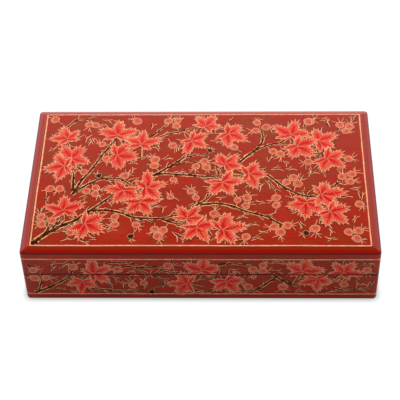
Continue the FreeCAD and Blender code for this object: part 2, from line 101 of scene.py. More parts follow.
class Wire:
    """A node's output that can be used in Python arithmetic; each operation adds a Math node."""

    def __init__(self, board: "Board", socket: bpy.types.NodeSocket) -> None:
        """Keeps the output and the board that it belongs to."""
        self.board = board
        self.socket = socket

    def __add__(self, other: "Value") -> "Wire":
        """Returns self + other."""
        return self.board.math("ADD", self, other)

    def __radd__(self, other: "Value") -> "Wire":
        """Returns other + self."""
        return self.board.math("ADD", other, self)

    def __sub__(self, other: "Value") -> "Wire":
        """Returns self - other."""
        return self.board.math("SUBTRACT", self, other)

    def __rsub__(self, other: "Value") -> "Wire":
        """Returns other - self."""
        return self.board.math("SUBTRACT", other, self)

    def __mul__(self, other: "Value") -> "Wire":
        """Returns self * other."""
        return self.board.math("MULTIPLY", self, other)

    def __rmul__(self, other: "Value") -> "Wire":
        """Returns other * self."""
        return self.board.math("MULTIPLY", other, self)

    def __truediv__(self, other: "Value") -> "Wire":
        """Returns self / other."""
        return self.board.math("DIVIDE", self, other)

    def __pow__(self, other: "Value") -> "Wire":
        """Returns self to the power of other."""
        return self.board.math("POWER", self, other)

    def __abs__(self) -> "Wire":
        """Returns the size of self."""
        return self.board.math("ABSOLUTE", self)

    def most(self, other: "Value") -> "Wire":
        """Returns the larger of self and other."""
        return self.board.math("MAXIMUM", self, other)

    def ramp(self, low: float, high: float) -> "Wire":
        """Rises smoothly from 0 where self is low to 1 where it is high; low may be above high.

        Args:
            low: the value that gives 0.
            high: the value that gives 1.

        Returns:
            The smooth step, between 0 and 1.
        """
        made = self.board.node(
            "ShaderNodeMapRange",
            {"interpolation_type": "SMOOTHSTEP"},
            {"Value": self, "From Min": min(low, high), "From Max": max(low, high)},
        )
        step = self.board.wire(made, "Result")
        return step if low < high else 1 - step


Value = Union[float, Wire]


class Board:
    """One node tree, emptied, with the few ways that the finishes add nodes to it."""

    def __init__(self, tree: bpy.types.NodeTree) -> None:
        """Empties the tree and keeps it."""
        self.tree = tree
        tree.nodes.clear()

    def node(
        self, kind: str, settings: dict[str, Any] | None = None, sockets: dict[Any, Any] | None = None
    ) -> bpy.types.Node:
        """Adds a node.

        Args:
            kind: the node's type.
            settings: properties, set first.
            sockets: values or links for the inputs, by name or number.

        Returns:
            The node.
        """
        made = self.tree.nodes.new(kind)
        for name, value in (settings or {}).items():
            setattr(made, name, value)
        for name, value in (sockets or {}).items():
            if isinstance(value, Wire):
                self.tree.links.new(value.socket, made.inputs[name])
            elif isinstance(value, tuple) and len(made.inputs[name].default_value) == 4:
                made.inputs[name].default_value = (*value, 1.0)
            else:
                made.inputs[name].default_value = value
        return made

    def wire(self, node: bpy.types.Node, output: int | str = 0) -> Wire:
        """Returns one of a node's outputs, ready for arithmetic."""
        return Wire(self, node.outputs[output])

    def math(self, operation: str, *terms: Value) -> Wire:
        """Returns the result of a Math node on one or two terms."""
        return self.wire(
            self.node("ShaderNodeMath", {"operation": operation}, dict(enumerate(terms)))
        )

    def mix(self, share: Value, first: Any, second: Any) -> Wire:
        """Mixes two colours.

        Args:
            share: how much of the second colour shows.
            first: a colour or a wire.
            second: a colour or a wire.

        Returns:
            The mixed colour.
        """
        made = self.node("ShaderNodeMix", {"data_type": "RGBA"}, {0: share, 6: first, 7: second})
        return self.wire(made, 2)

    def place(self, stretch: tuple[float, float, float] = (1, 1, 1)) -> Wire:
        """Returns the Object coordinates in millimetres, stretched per axis."""
        spot = self.wire(self.node("ShaderNodeTexCoord"), "Object")
        scale = tuple(s / MM for s in stretch)
        return self.wire(
            self.node("ShaderNodeVectorMath", {"operation": "MULTIPLY"}, {0: spot, 1: scale})
        )

    def split(self, vector: Wire) -> tuple[Wire, Wire, Wire]:
        """Returns a vector's three parts."""
        made = self.node("ShaderNodeSeparateXYZ", None, {0: vector})
        return self.wire(made, 0), self.wire(made, 1), self.wire(made, 2)

    def join(self, x: Value, y: Value, z: Value) -> Wire:
        """Returns a vector of three parts."""
        return self.wire(self.node("ShaderNodeCombineXYZ", None, {0: x, 1: y, 2: z}))

    def motif(self) -> tuple[Wire, Wire, Wire]:
        """Returns the motif's own coordinates, across and along, and its shade."""
        made = self.node("ShaderNodeAttribute", {"attribute_name": MOTIF})
        return self.split(self.wire(made, "Vector"))

    def rim(self) -> Wire:
        """Returns how near a motif's edge a place is, 0 in its middle and 1 on it."""
        return self.wire(self.node("ShaderNodeAttribute", {"attribute_name": RIM}), "Fac")

    def noise(self, where: Wire, scale: float, detail: float = 3, rough: float = 0.5) -> Wire:
        """Returns a noise value round 0.5.

        Args:
            where: the vector that it is read at.
            scale: how fine it is.
            detail: how many finer layers it has.
            rough: how strong these are.

        Returns:
            The noise value.
        """
        made = self.node(
            "ShaderNodeTexNoise", None,
            {"Vector": where, "Scale": scale, "Detail": detail, "Roughness": rough},
        )
        return self.wire(made, 0)

    def bump(self, height: Wire, depth: float) -> Wire:
        """Returns the normal of a surface raised by height, which is depth millimetres from 0 to 1."""
        made = self.node(
            "ShaderNodeBump", None, {"Height": height, "Distance": depth * MM, "Strength": 1.0}
        )
        return self.wire(made, "Normal")


# Finishes: one frozen class for each material.


@dataclass(frozen=True)
class Finish:
    """One material, made once, the first time that a piece asks for it."""

    title: str

    def material(self) -> bpy.types.Material:
        """Returns the material, making it when it isn't there yet."""
        known = bpy.data.materials.get(self.title)
        if known:
            return known
        made = bpy.data.materials.new(self.title)
        made.use_nodes = True
        board = Board(made.node_tree)
        shader = board.node("ShaderNodeBsdfPrincipled", None, self.sockets(board))
        board.node("ShaderNodeOutputMaterial", None, {"Surface": board.wire(shader)})
        return made

    def sockets(self, board: Board) -> dict[str, Any]:
        """Returns the values and links of the shader's sockets."""
        raise NotImplementedError


LACQUER_COAT = {"Coat Weight": 1.0, "Coat Roughness": 0.07, "Coat IOR": 1.5, "Specular IOR Level": 0.0}


@dataclass(frozen=True)
class RedLacquer(Finish):
    """Vermilion ground under clear lacquer, brushed along the box; painted shade, with a little wear,
    darkens the arris, the seam and the foot, and the bevel has painted shading of its own.
    """

    ground: Colour = rgb(166, 38, 10)
    earth: Colour = rgb(146, 58, 24)
    vivid: Colour = rgb(194, 24, 10)
    bright: Colour = rgb(186, 42, 20)
    deep: Colour = rgb(138, 20, 8)
    # Painted shade, with a little wear: the dark red of the bands along the arris, the seam and the foot.
    edge: Colour = rgb(74, 12, 8)
    # Painted shade: the bevel's own deeper red, set for how light falls on the slope.
    bevel: Colour = rgb(164, 21, 9)
    arris_height: float = 44.1
    top_height: float = 45.9
    seam_height: float = 24.45
    foot_height: float = 0.25
    thinning: float = 0.6

    def sockets(self, board: Board) -> dict[str, Any]:
        """Returns the values and links of the shader's sockets."""
        spot = board.place()
        height = board.split(spot)[2]
        cloud = board.noise(spot, 0.035, 4, 0.55)
        streak = board.noise(board.place((0.03, 0.9, 0.9)), 0.8, 4, 0.65)
        speck = board.noise(spot, 1.9, 3, 0.6)
        dab = board.noise(board.place((0.7, 1.0, 1.0)), 0.13, 3, 0.65)
        tone = board.mix(cloud.ramp(0.5, 0.72), self.ground, self.bright)
        tone = board.mix(cloud.ramp(0.5, 0.3) * 0.8, tone, self.earth)
        tone = board.mix(dab.ramp(0.54, 0.66) * 0.65, tone, self.vivid)
        tone = board.mix(dab.ramp(0.45, 0.33) * 0.6, tone, self.earth)
        tone = board.mix(streak.ramp(0.42, 0.72) * 0.45, tone, self.deep)
        tone = board.mix(speck.ramp(0.62, 0.8) * 0.35, tone, self.deep)
        fray = (speck - 0.5) * 0.5
        # Painted shade with a little wear: dark bands along the arris, along the seam between lid and base,
        # and round the foot.
        arris = abs(height - self.arris_height + 0.1 + fray * 0.5).ramp(0.6, 0.15)
        seam = abs(height - self.seam_height + fray * 0.4).ramp(0.9, 0.35)
        foot = (height + fray).ramp(1.7, self.foot_height)
        # Painted light and shade on the bevel: a red of its own that turns browner towards the top.
        slope = (height - self.arris_height) / (self.top_height - self.arris_height)
        bevel_shading = board.mix(slope.ramp(0.35, 1.05) * 0.8, self.bevel, self.earth)
        bevel = slope.ramp(0.0, 0.2) * slope.ramp(0.97, 0.84)
        tone = board.mix(bevel, tone, bevel_shading)
        # The painted shade of the arris, seam and foot bands is mixed in here.
        tone = board.mix(arris.most(seam).most(foot) * 0.8, tone, self.edge)
        gloss = 0.34 + streak * 0.12
        wave = board.noise(spot, 0.09, 2) * 0.8 + streak * 0.12 + speck * 0.08
        return {
            "Base Color": tone, "Roughness": gloss, "Normal": board.bump(wave, 0.09), **LACQUER_COAT,
            "Coat Weight": 1 - bevel * slope.ramp(0.2, 0.85) * self.thinning,
        }


@dataclass(frozen=True)
class LeafPaint(Finish):
    """Coral leaves, red along each lobe, with fine slanted strokes that turn pale at the edge."""

    coral: Colour = rgb(228, 84, 62)
    deep: Colour = rgb(196, 42, 30)
    pale: Colour = rgb(244, 160, 116)
    flame: Colour = rgb(220, 16, 12)
    heart: Colour = rgb(156, 10, 12)
    lobe_angles: tuple[float, ...] = (0.0, 68.0, 122.0)
    seam_angles: tuple[float, ...] = (31.0, 96.0)

    def sockets(self, board: Board) -> dict[str, Any]:
        """Returns the values and links of the shader's sockets."""
        across, along, shade = board.motif()
        rim = board.rim()
        bend = board.noise(board.join(across, along, shade * 13), 1.3, 1)
        lean = board.noise(board.join(across, along, shade * 13 + 6), 1.3, 1)
        across, along = across + (bend - 0.5) * 0.3, along + (lean - 0.5) * 0.3
        side = abs(across)
        reach = (across * across + along * along) ** 0.5
        run, off = self._ray(side, along, reach, self.lobe_angles)
        seam = self._ray(side, along, reach, self.seam_angles)[1]
        sway = board.noise(board.join(across, along, shade * 9), 3.5, 2)
        strokes = board.math("SINE", (run - off * 0.8) * 62 + sway * 16) * 0.5 + 0.5
        blot = board.noise(board.join(across, along, shade * 7), 2.6, 3)
        tone = board.mix(rim.ramp(0.4, 1.0) * 0.12 + blot.ramp(0.5, 0.7) * 0.3, self.coral, self.pale)
        tone = board.mix(strokes.ramp(0.55, 0.15) * rim.ramp(0.2, 0.5) * 0.55, tone, self.deep)
        core = (off * 3.4 + rim * 0.55 + (strokes - 0.5) * 0.45 + (blot - 0.5) * 0.8).ramp(0.66, 0.54)
        tone = board.mix(core * 0.92, tone, self.flame)
        tone = board.mix((rim + (strokes - 0.5) * 0.55).ramp(0.98, 1.12) * 0.9, tone, self.pale)
        rib = off.ramp(0.026, 0.012) * rim.ramp(0.9, 0.4)
        tone = board.mix((reach.ramp(0.2, 0.03) * 0.5).most(rib * 0.75), tone, self.heart)
        tone = board.mix(seam.ramp(0.03, 0.014) * reach.ramp(0.36, 0.26) * 0.45, tone, self.pale)
        tone = board.mix(shade * 0.18, tone, self.flame)
        relief = strokes * 0.8 + rib * 0.2
        return {
            "Base Color": tone, "Roughness": 0.36 + strokes * 0.1, "Normal": board.bump(relief, 0.04),
            **LACQUER_COAT,
        }

    @staticmethod
    def _ray(side: Wire, along: Wire, reach: Wire, angles: Sequence[float]) -> tuple[Wire, Wire]:
        """Measures from the nearest of a few rays that start where the veins meet.

        Args:
            side: how far a place is from the leaf's middle line.
            along: how far it is along that line.
            reach: how far it is from where the veins meet.
            angles: the rays, in degrees from the middle line.

        Returns:
            How far it is along the ray, and how far off it.
        """
        run: Value = 0.0
        for angle in angles:
            turn = math.radians(angle)
            run = (side * math.sin(turn) + along * math.cos(turn)).most(run)
        return run, (reach * reach - run * run).most(0.0) ** 0.5


@dataclass(frozen=True)
class BerryPaint(Finish):
    """Coral berries, redder in the middle, with faint round brush marks."""

    coral: Colour = rgb(206, 78, 54)
    pale: Colour = rgb(226, 122, 88)
    red: Colour = rgb(178, 40, 28)

    def sockets(self, board: Board) -> dict[str, Any]:
        """Returns the values and links of the shader's sockets."""
        across, along, shade = board.motif()
        reach = (across * across + along * along) ** 0.5
        marks = board.noise(board.join(across, along, shade * 11), 2.2, 3, 0.6)
        tone = board.mix((reach + (marks - 0.5) * 0.8).ramp(0.35, 0.95), self.coral, self.pale)
        tone = board.mix((marks + shade * 0.12).ramp(0.5, 0.8) * 0.55, tone, self.red)
        return {
            "Base Color": tone, "Roughness": 0.38 + marks * 0.08, "Normal": board.bump(marks, 0.03),
            **LACQUER_COAT,
        }


@dataclass(frozen=True)
class GoldPaint(Finish):
    """Pale gold paint, thin and a little broken, under the lacquer."""

    gold: Colour = rgb(244, 156, 106)
    light: Colour = rgb(255, 200, 158)
    thin: Colour = rgb(208, 112, 72)

    def sockets(self, board: Board) -> dict[str, Any]:
        """Returns the values and links of the shader's sockets."""
        spot = board.place()
        patch = board.noise(spot, 0.35, 4, 0.65)
        grain = board.noise(spot, 2.6, 2)
        tone = board.mix(patch.ramp(0.4, 0.65), self.gold, self.light)
        tone = board.mix(grain.ramp(0.55, 0.75) * 0.6, tone, self.thin)
        return {
            "Base Color": tone, "Metallic": 0.2, "Roughness": 0.38 + grain * 0.15,
            "Normal": board.bump(grain, 0.02), **LACQUER_COAT,
        }


@dataclass(frozen=True)
class BranchPaint(Finish):
    """Dark brown bark with olive strokes between two gold edges."""

    bark: Colour = rgb(60, 14, 2)
    olive: Colour = rgb(118, 58, 20)
    gold: Colour = rgb(252, 188, 134)
    core_share: float = 0.55

    def sockets(self, board: Board) -> dict[str, Any]:
        """Returns the values and links of the shader's sockets."""
        across, along, shade = board.motif()
        stroke = board.noise(board.join(across * 1.6, along * 0.22, shade * 9), 1.0, 3, 0.6)
        fray = board.noise(board.join(across, along * 0.8, shade * 5 + 3), 1.0, 3, 0.6)
        tone = board.mix(stroke.ramp(0.5, 0.62), self.bark, self.olive)
        gilt = (abs(across) + (fray - 0.5) * 0.7).ramp(self.core_share - 0.1, self.core_share + 0.1)
        whole = board.noise(board.join(across * 0.6, along * 0.3, shade * 5 + 8), 1.0, 2)
        gilt = gilt * whole.ramp(0.38, 0.48)
        tone = board.mix(gilt, tone, self.gold)
        return {
            "Base Color": tone, "Metallic": gilt * 0.2, "Roughness": 0.36 + fray * 0.12,
            "Normal": board.bump(stroke + gilt * 0.5, 0.03), **LACQUER_COAT, "Coat Weight": 0.25,
        }


@dataclass(frozen=True)
class BlackPaint(Finish):
    """Black paint: glossy on buds, satin and a little rubbed on the boards' inner faces and rims."""

    ink: Colour = rgb(16, 12, 11)
    rubbed: Colour = rgb(58, 42, 32)
    gloss: float = 0.35
    coat: float = 0.3
    shine: float = 0.2

    def sockets(self, board: Board) -> dict[str, Any]:
        """Returns the values and links of the shader's sockets."""
        spot = board.place()
        brush = board.noise(board.place((0.12, 0.12, 1.0)), 0.9, 4, 0.6)
        rub = board.noise(spot, 0.5, 5, 0.7)
        tone = board.mix(rub.ramp(0.58, 0.74) * 0.5, self.ink, self.rubbed)
        return {
            "Base Color": tone, "Roughness": self.gloss + brush * 0.2,
            "Normal": board.bump(brush * 0.7 + rub * 0.3, 0.05),
            "Coat Weight": self.coat, "Coat Roughness": 0.1, "Specular IOR Level": self.shine,
        }


@dataclass(frozen=True)
class Velvet(Finish):
    """Cotton velvet: short pile brushed in soft patches, with a pale sheen at grazing angles."""

    pile: Colour = rgb(90, 12, 20)
    brushed: Colour = rgb(80, 10, 17)
    sheen: Colour = rgb(226, 92, 92)

    def sockets(self, board: Board) -> dict[str, Any]:
        """Returns the values and links of the shader's sockets."""
        spot = board.place()
        patch = board.noise(spot, 0.05, 3, 0.5)
        fibre = board.noise(spot, 3.2, 2, 0.7)
        tone = board.mix(patch.ramp(0.38, 0.62), self.pile, self.brushed)
        tone = board.mix(fibre.ramp(0.45, 0.75) * 0.45, tone, self.brushed)
        return {
            "Base Color": tone, "Roughness": 0.85 + fibre * 0.12,
            "Normal": board.bump(fibre * 0.7 + patch * 0.3, 0.16),
            "Sheen Weight": 0.8, "Sheen Roughness": 0.4, "Sheen Tint": self.sheen,
        }


@dataclass(frozen=True)
class Brass(Finish):
    """Rolled or drawn brass, dulled, with brown tarnish in patches."""

    metal: Colour = (0.78, 0.57, 0.25)
    tarnish: Colour = (0.30, 0.18, 0.07)
    grain_stretch: tuple[float, float, float] = (0.15, 1.0, 1.0)

    def sockets(self, board: Board) -> dict[str, Any]:
        """Returns the values and links of the shader's sockets."""
        spot = board.place()
        roll = board.noise(board.place(self.grain_stretch), 4.0, 3, 0.6)
        stain = board.noise(spot, 0.4, 4, 0.65)
        tone = board.mix(stain.ramp(0.5, 0.72) * 0.7, self.metal, self.tarnish)
        return {
            "Base Color": tone, "Metallic": 1.0, "Roughness": 0.24 + roll * 0.14 + stain * 0.14,
            "Normal": board.bump(roll, 0.012),
        }


@dataclass(frozen=True)
class IronWire(Finish):
    """Drawn iron wire with a grey-brown skin."""

    metal: Colour = (0.42, 0.41, 0.40)
    skin: Colour = (0.16, 0.12, 0.10)

    def sockets(self, board: Board) -> dict[str, Any]:
        """Returns the values and links of the shader's sockets."""
        blot = board.noise(board.place(), 1.4, 3, 0.6)
        tone = board.mix(blot.ramp(0.45, 0.65) * 0.6, self.metal, self.skin)
        return {"Base Color": tone, "Metallic": 1.0, "Roughness": 0.32 + blot * 0.25}


@dataclass(frozen=True)
class PlainWood(Finish):
    """Sawn softwood with grain along the box."""

    early: Colour = (0.56, 0.40, 0.24)
    late: Colour = (0.38, 0.23, 0.12)

    def sockets(self, board: Board) -> dict[str, Any]:
        """Returns the values and links of the shader's sockets."""
        drift = board.noise(board.place((0.04, 0.6, 0.6)), 0.5, 3)
        rings = board.noise(board.place((0.02, 1.0, 1.0)), 0.8, 4, 0.6)
        tone = board.mix((rings * 0.8 + drift * 0.3).ramp(0.42, 0.68), self.early, self.late)
        return {"Base Color": tone, "Roughness": 0.62 + rings * 0.2, "Normal": board.bump(rings, 0.08)}


RED_LACQUER = RedLacquer("vermilion lacquer")
LEAF_PAINT = LeafPaint("leaf paint")
BERRY_PAINT = BerryPaint("berry paint")
GOLD_PAINT = GoldPaint("gold paint")
BRANCH_PAINT = BranchPaint("branch paint")
BUD_PAINT = BlackPaint("bud paint", ink=rgb(64, 18, 2), coat=0.15, shine=0.05)
BOARD_PAINT = BlackPaint("black board paint")
CONTOUR_PAINT = BlackPaint(
    "contour paint", ink=rgb(76, 12, 2), rubbed=rgb(108, 22, 5), coat=0.25, shine=0.05
)
VELVET = Velvet("wine red velvet")
BRASS_SHEET = Brass("brass sheet")
BRASS_WIRE = Brass("brass wire", metal=(0.76, 0.55, 0.24), grain_stretch=(1.0, 1.0, 0.15))
IRON_WIRE = IronWire("iron wire")
PLAIN_WOOD = PlainWood("sawn softwood")


# Painted motifs: panels, layouts and the brush.


@dataclass(frozen=True)
class Panel:
    """A flat face that carries painting, with its own axes and a layout grid.

    The grid's unit is a hundredth of the face's measured width. Its x runs across from the left and its
    y down from the top edge, as a painter would lay the pattern out.
    """

    title: str
    centre: tuple[float, float, float]
    across: tuple[float, float, float]
    up: tuple[float, float, float]
    width: float
    height: float

    def frame(self) -> Matrix:
        """Returns the matrix from the panel's millimetres to the row frame's metres."""
        across, up = Vector(self.across), Vector(self.up)
        turned = Matrix((across, up, across.cross(up))).transposed().to_4x4()
        return Matrix.Translation(Vector(self.centre) * MM) @ turned @ Matrix.Scale(MM, 4)

    def spot(self, place: Point) -> Vector:
        """Returns a grid place in the panel's own millimetres, from its centre."""
        unit = self.width / 100
        return Vector((place[0] * unit - self.width / 2, self.height / 2 - place[1] * unit, 0))

    def length(self, units: float) -> float:
        """Returns a length of the grid in millimetres."""
        return units * self.width / 100


@dataclass
class Layout:
    """Where a panel's motifs go, in shares of its width: hundredths of it, on the panel's grid."""

    leaf_shares: tuple[tuple[float, float, float, float], ...] = ()
    berry_shares: tuple[tuple[float, float, float], ...] = ()
    bud_shares: tuple[tuple[float, float, float], ...] = ()
    branch_shares: tuple[tuple[float, float, tuple[Point, ...]], ...] = ()
    sprig_shares: tuple[tuple[float, float, float], ...] = ()


# Half of a leaf's edge, from its tip round to its stalk: degrees from the tip, share of its length.
LEAF_EDGE_SHARES = (
    (0, 1.04), (4, 0.80), (10, 0.92), (12, 0.68), (19, 0.80), (21, 0.54), (27, 0.60), (32, 0.45),
    (40, 0.58), (45, 0.52), (47, 0.76), (54, 0.68), (57, 0.90), (63, 0.78), (68, 1.03), (73, 0.77),
    (79, 0.89), (81, 0.65), (88, 0.76), (90, 0.52), (96, 0.54), (101, 0.41), (107, 0.52), (111, 0.46),
    (114, 0.62), (122, 0.72), (127, 0.50), (134, 0.56), (136, 0.36), (146, 0.40), (155, 0.26), (168, 0.14),
)
STALK_SHARE = 0.09
STALK_TURNS = (180, 158, -150, 34, -96)  # degrees from a leaf's middle lobe
WHISKERS = ((-58, "gold"), (-18, "branches"), (26, "gold"), (64, "branches"))  # degrees, and the paint
PRONGS = ((-0.55, "gold"), (0.05, "branches"), (0.5, "branches"))  # slant, and the paint
BERRY_SIDES = 22
CURL_POINTS = 6
CURL_TURN = 38  # degrees from one point of a berry's curl to the next
MITER_LIMIT = 1.8  # how far a corner may reach, in widths of the outline
FOLD_LIMIT = 0.3  # below this a corner is so sharp that it is squared off
STALK_GAP = 16  # millimetres: a berry farther than this from a branch gets no stalk
STALK_RUN = 4.5  # millimetres from a berry's edge


def way_of(angle: float) -> Vector:
    """Returns the unit vector on the panel at an angle in radians."""
    return Vector((math.cos(angle), math.sin(angle), 0))


def left_of(way: Vector) -> Vector:
    """Returns a way turned a quarter to the left on the panel."""
    return Vector((-way.y, way.x, 0))


def right_of(way: Vector) -> Vector:
    """Returns a way turned a quarter to the right on the panel."""
    return Vector((way.y, -way.x, 0))


@dataclass
class Brush:
    """Builds thin closed motifs in a panel's own millimetres and gathers them by paint."""

    seed: int
    leaf_lift: float = 0.10
    berry_lift: float = 0.085
    branch_lift: float = 0.06
    line_lift: float = 0.05
    sunk: float = 0.05
    outline_width: float = 0.36
    contour_width: float = 0.42
    whisker_width: float = 0.64
    twig_gap: float = 3.9
    twig_gilding: float = 0.62
    twig_offset: float = 0.72
    outline_sway: tuple[float, float] = (0.75, 1.25)
    contour_least: float = 0.25
    contour_sway: float = 1.8
    contour_scale: float = 0.3
    leaf_swing: float = 11.0
    leaf_swell: float = 0.24
    leaf_tooth: float = 0.14
    rank_lift: float = 0.004
    berry_warp: float = 0.22
    strokes: dict[str, bmesh.types.BMesh] = field(default_factory=dict)

    def __post_init__(self) -> None:
        """Starts the seeded draws."""
        self.draw = random.Random(self.seed)

    def _fresh(self) -> tuple[bmesh.types.BMesh, Any]:
        """Starts a motif.

        Returns:
            A new bmesh with a motif and a rim layer, and the motif layer.
        """
        made = bmesh.new()
        made.verts.layers.float_vector.new(MOTIF)
        made.verts.layers.float.new(RIM)
        return made, made.verts.layers.float_vector[MOTIF]

    def _gather(self, pot: str, motif: bmesh.types.BMesh) -> None:
        """Adds a finished motif to the strokes of one pot of paint.

        Args:
            pot: the paint.
            motif: the motif, which is used up.
        """
        bmesh.ops.recalc_face_normals(motif, faces=motif.faces[:])
        if pot not in self.strokes:
            self.strokes[pot] = self._fresh()[0]
        sheet = bpy.data.meshes.new("stroke")
        motif.to_mesh(sheet)
        motif.free()
        self.strokes[pot].from_mesh(sheet)
        bpy.data.meshes.remove(sheet)

    def _close(self, motif: bmesh.types.BMesh, lift: float, rim: list[Any], gold: float, layer: Any) -> None:
        """Gives a flat motif its gold outline and closes it down into the lacquer.

        Args:
            motif: the motif, flat at z = 0 with its painted face.
            lift: how far its face stands up.
            rim: the vertices of its edge, in order.
            gold: the width of the outline.
            layer: the motif layer.
        """
        bmesh.ops.translate(motif, vec=(0, 0, lift), verts=motif.verts[:])
        spots = [v.co.copy() for v in rim]
        marks = [v[layer].copy() for v in rim]
        for vert in rim:
            vert[motif.verts.layers.float[RIM]] = 1.0
        edge = {e for v in rim for e in v.link_edges if e.is_boundary}
        grown = bmesh.ops.extrude_edge_only(motif, edges=list(edge))["geom"]
        for face in (g for g in grown if isinstance(g, bmesh.types.BMFace)):
            face.material_index = 1
        outer = {self._nearest(v, spots): v for v in grown if isinstance(v, bmesh.types.BMVert)}
        count = len(spots)
        for index, vert in outer.items():
            before, here, after = spots[index - 1], spots[index], spots[(index + 1) % count]
            vert.co = here + self._miter(before, here, after) * gold * self.draw.uniform(*self.outline_sway)
            vert[layer] = marks[index]
        edge = [g for g in grown if isinstance(g, bmesh.types.BMEdge) and g.is_boundary]
        skirt = bmesh.ops.extrude_edge_only(motif, edges=edge)["geom"]
        drift = Vector((self.draw.uniform(0, 50), 0, 0))
        for vert in (g for g in skirt if isinstance(g, bmesh.types.BMVert)):
            index = self._nearest(vert, spots)
            sway = self.contour_sway * noise.noise(spots[index] * self.contour_scale + drift)
            width = self.contour_width * max(self.contour_least, 1 + sway)
            vert.co += self._miter(spots[index - 1], spots[index], spots[(index + 1) % count]) * width
            vert.co.z = -self.sunk
        for face in (g for g in skirt if isinstance(g, bmesh.types.BMFace)):
            face.material_index = 2
        bottom = [g for g in skirt if isinstance(g, bmesh.types.BMEdge) and g.is_boundary]
        bmesh.ops.holes_fill(motif, edges=bottom)

    @staticmethod
    def _nearest(vert: Any, spots: list[Vector]) -> int:
        """Returns the number of the spot that a vertex lies on."""
        return min(range(len(spots)), key=lambda i: (spots[i] - vert.co).length_squared)

    @staticmethod
    def _miter(before: Vector, here: Vector, after: Vector) -> Vector:
        """Finds the way out of a corner of an outline that runs anticlockwise.

        Args:
            before: the corner before it.
            here: the corner.
            after: the corner after it.

        Returns:
            The way, longer at a tip.
        """
        inward = (here - before).normalized()
        onward = (after - here).normalized()
        both = right_of(inward) + right_of(onward)
        if both.length < FOLD_LIMIT:
            return (inward - onward).normalized() * MITER_LIMIT
        return both.normalized() * min(MITER_LIMIT, 2 / both.length)

    def leaf(self, spot: Vector, heading: float, length: float, rank: int) -> None:
        """Paints a chinar leaf.

        Args:
            spot: where its veins meet.
            heading: the way its middle lobe points, in degrees.
            length: from there to the tip of the middle lobe.
            rank: its place in the order of painting, which gives its lift.
        """
        motif, layer = self._fresh()
        half = list(LEAF_EDGE_SHARES)
        outline = half + [(180, STALK_SHARE)] + [(-angle, share) for angle, share in reversed(half[1:])]
        made = bmesh.ops.create_circle(
            motif, cap_ends=True, cap_tris=True, segments=len(outline), radius=length
        )["verts"]
        rim = [v for v in made if v.co.length > length / 2]
        hub = next(v for v in made if v not in rim)
        mark = self.draw.uniform(0, 50)
        shade = self.draw.random()
        hub[layer] = Vector((0, 0, shade))
        for vert, (angle, share) in zip(rim, outline):
            swing = noise.noise(Vector((angle / 40, mark, 0)))
            swell = noise.noise(Vector((angle / 45, mark, 5)))
            tooth = noise.noise(Vector((angle / 6, mark, 9)))
            turned = math.radians(angle + self.leaf_swing * swing)
            reach = share * length * (1 + self.leaf_swell * swell + self.leaf_tooth * tooth)
            vert.co = Vector((-math.sin(turned), math.cos(turned), 0)) * reach
            plain = math.radians(angle)
            vert[layer] = Vector((-math.sin(plain) * share, math.cos(plain) * share, shade))
        self._close(motif, self.leaf_lift + self.rank_lift * rank, rim, self.outline_width, layer)
        turn = Matrix.Rotation(math.radians(heading - 90), 4, "Z")
        motif.transform(Matrix.Translation(spot) @ turn)
        self._gather("leaves", motif)

    def berry(self, spot: Vector, radius: float, whiskers: float, pot: str = "berries") -> None:
        """Paints a berry or bud with its gold ring, inner curl and the four whiskers of its crown.

        Args:
            spot: its middle.
            radius: its size.
            whiskers: the way its whiskers point, in degrees.
            pot: berries or buds.
        """
        motif, layer = self._fresh()
        made = bmesh.ops.create_circle(
            motif, cap_ends=True, cap_tris=True, segments=BERRY_SIDES, radius=radius
        )
        rim = [v for v in made["verts"] if v.co.length > radius / 2]
        shade = self.draw.random()
        mark = self.draw.uniform(0, 50)
        for vert in motif.verts:
            vert[layer] = Vector((vert.co.x / radius, vert.co.y / radius, shade))
            vert.co *= 1 + self.berry_warp * noise.noise(vert.co / radius + Vector((mark, 0, 0)))
        lift = self.berry_lift + self.draw.uniform(0, 0.01)
        self._close(motif, lift, rim, self.outline_width * 0.7, layer)
        motif.transform(Matrix.Translation(spot))
        self._gather(pot, motif)
        if pot == "berries":
            start = self.draw.uniform(0, 360)
            turns = [math.radians(start + CURL_TURN * step) for step in range(CURL_POINTS)]
            curl = [spot + way_of(a) * radius * (0.62 - 0.06 * step) for step, a in enumerate(turns)]
            self.stroke(curl, self.whisker_width * 0.75, self.berry_lift + 0.05, tail=0.4)
        crown = spot + way_of(math.radians(whiskers)) * radius * 0.9
        for swing, paint in WHISKERS:
            out = way_of(math.radians(whiskers + swing + self.draw.uniform(-12, 12)))
            side = left_of(out) * self.draw.uniform(-0.35, 0.35)
            length = self.draw.uniform(1.1, 2.1) * radius
            path = [crown, crown + out * length * 0.5 + side, crown + out * length + side * 2.4]
            if paint == "gold":
                self.stroke(path, self.whisker_width, self.line_lift, tail=0.5)
            else:
                self.twig(path, 1.3, 0.6)

    def stroke(
        self, path: Sequence[Vector], width: float, lift: float, tail: float = 1.0,
        pot: str = "gold", fineness: int = 3, gilding: float = 1.0,
    ) -> None:
        """Paints a line along a smoothed path.

        Args:
            path: two or more points.
            width: its full width at the start.
            lift: how far it stands up.
            tail: its width at the end, as a share of the width.
            pot: the paint, gold or branches.
            fineness: steps between two points.
            gilding: how much of a branch's gold edges shows, 1 for all.
        """
        motif, layer = self._fresh()
        spots = smooth_path(path, fineness)
        shade = self.draw.random()
        stations = []
        run = 0.0
        runs = []
        for index, here in enumerate(spots):
            before, after = spots[max(index - 1, 0)], spots[min(index + 1, len(spots) - 1)]
            ahead = (after - before).normalized()
            share = index / (len(spots) - 1)
            half = width / 2 * (1 + (tail - 1) * share) * self.draw.uniform(0.88, 1.12)
            stations.append(station(here, ahead, Vector((0, 0, 1)), half, lift))
            run += (here - spots[index - 1]).length if index else 0.0
            runs.append(run)
        sweep(
            motif, stations,
            lambda vert, mark, number: mark_stroke(vert, layer, mark * gilding, runs[number], shade),
        )
        self._gather(pot, motif)

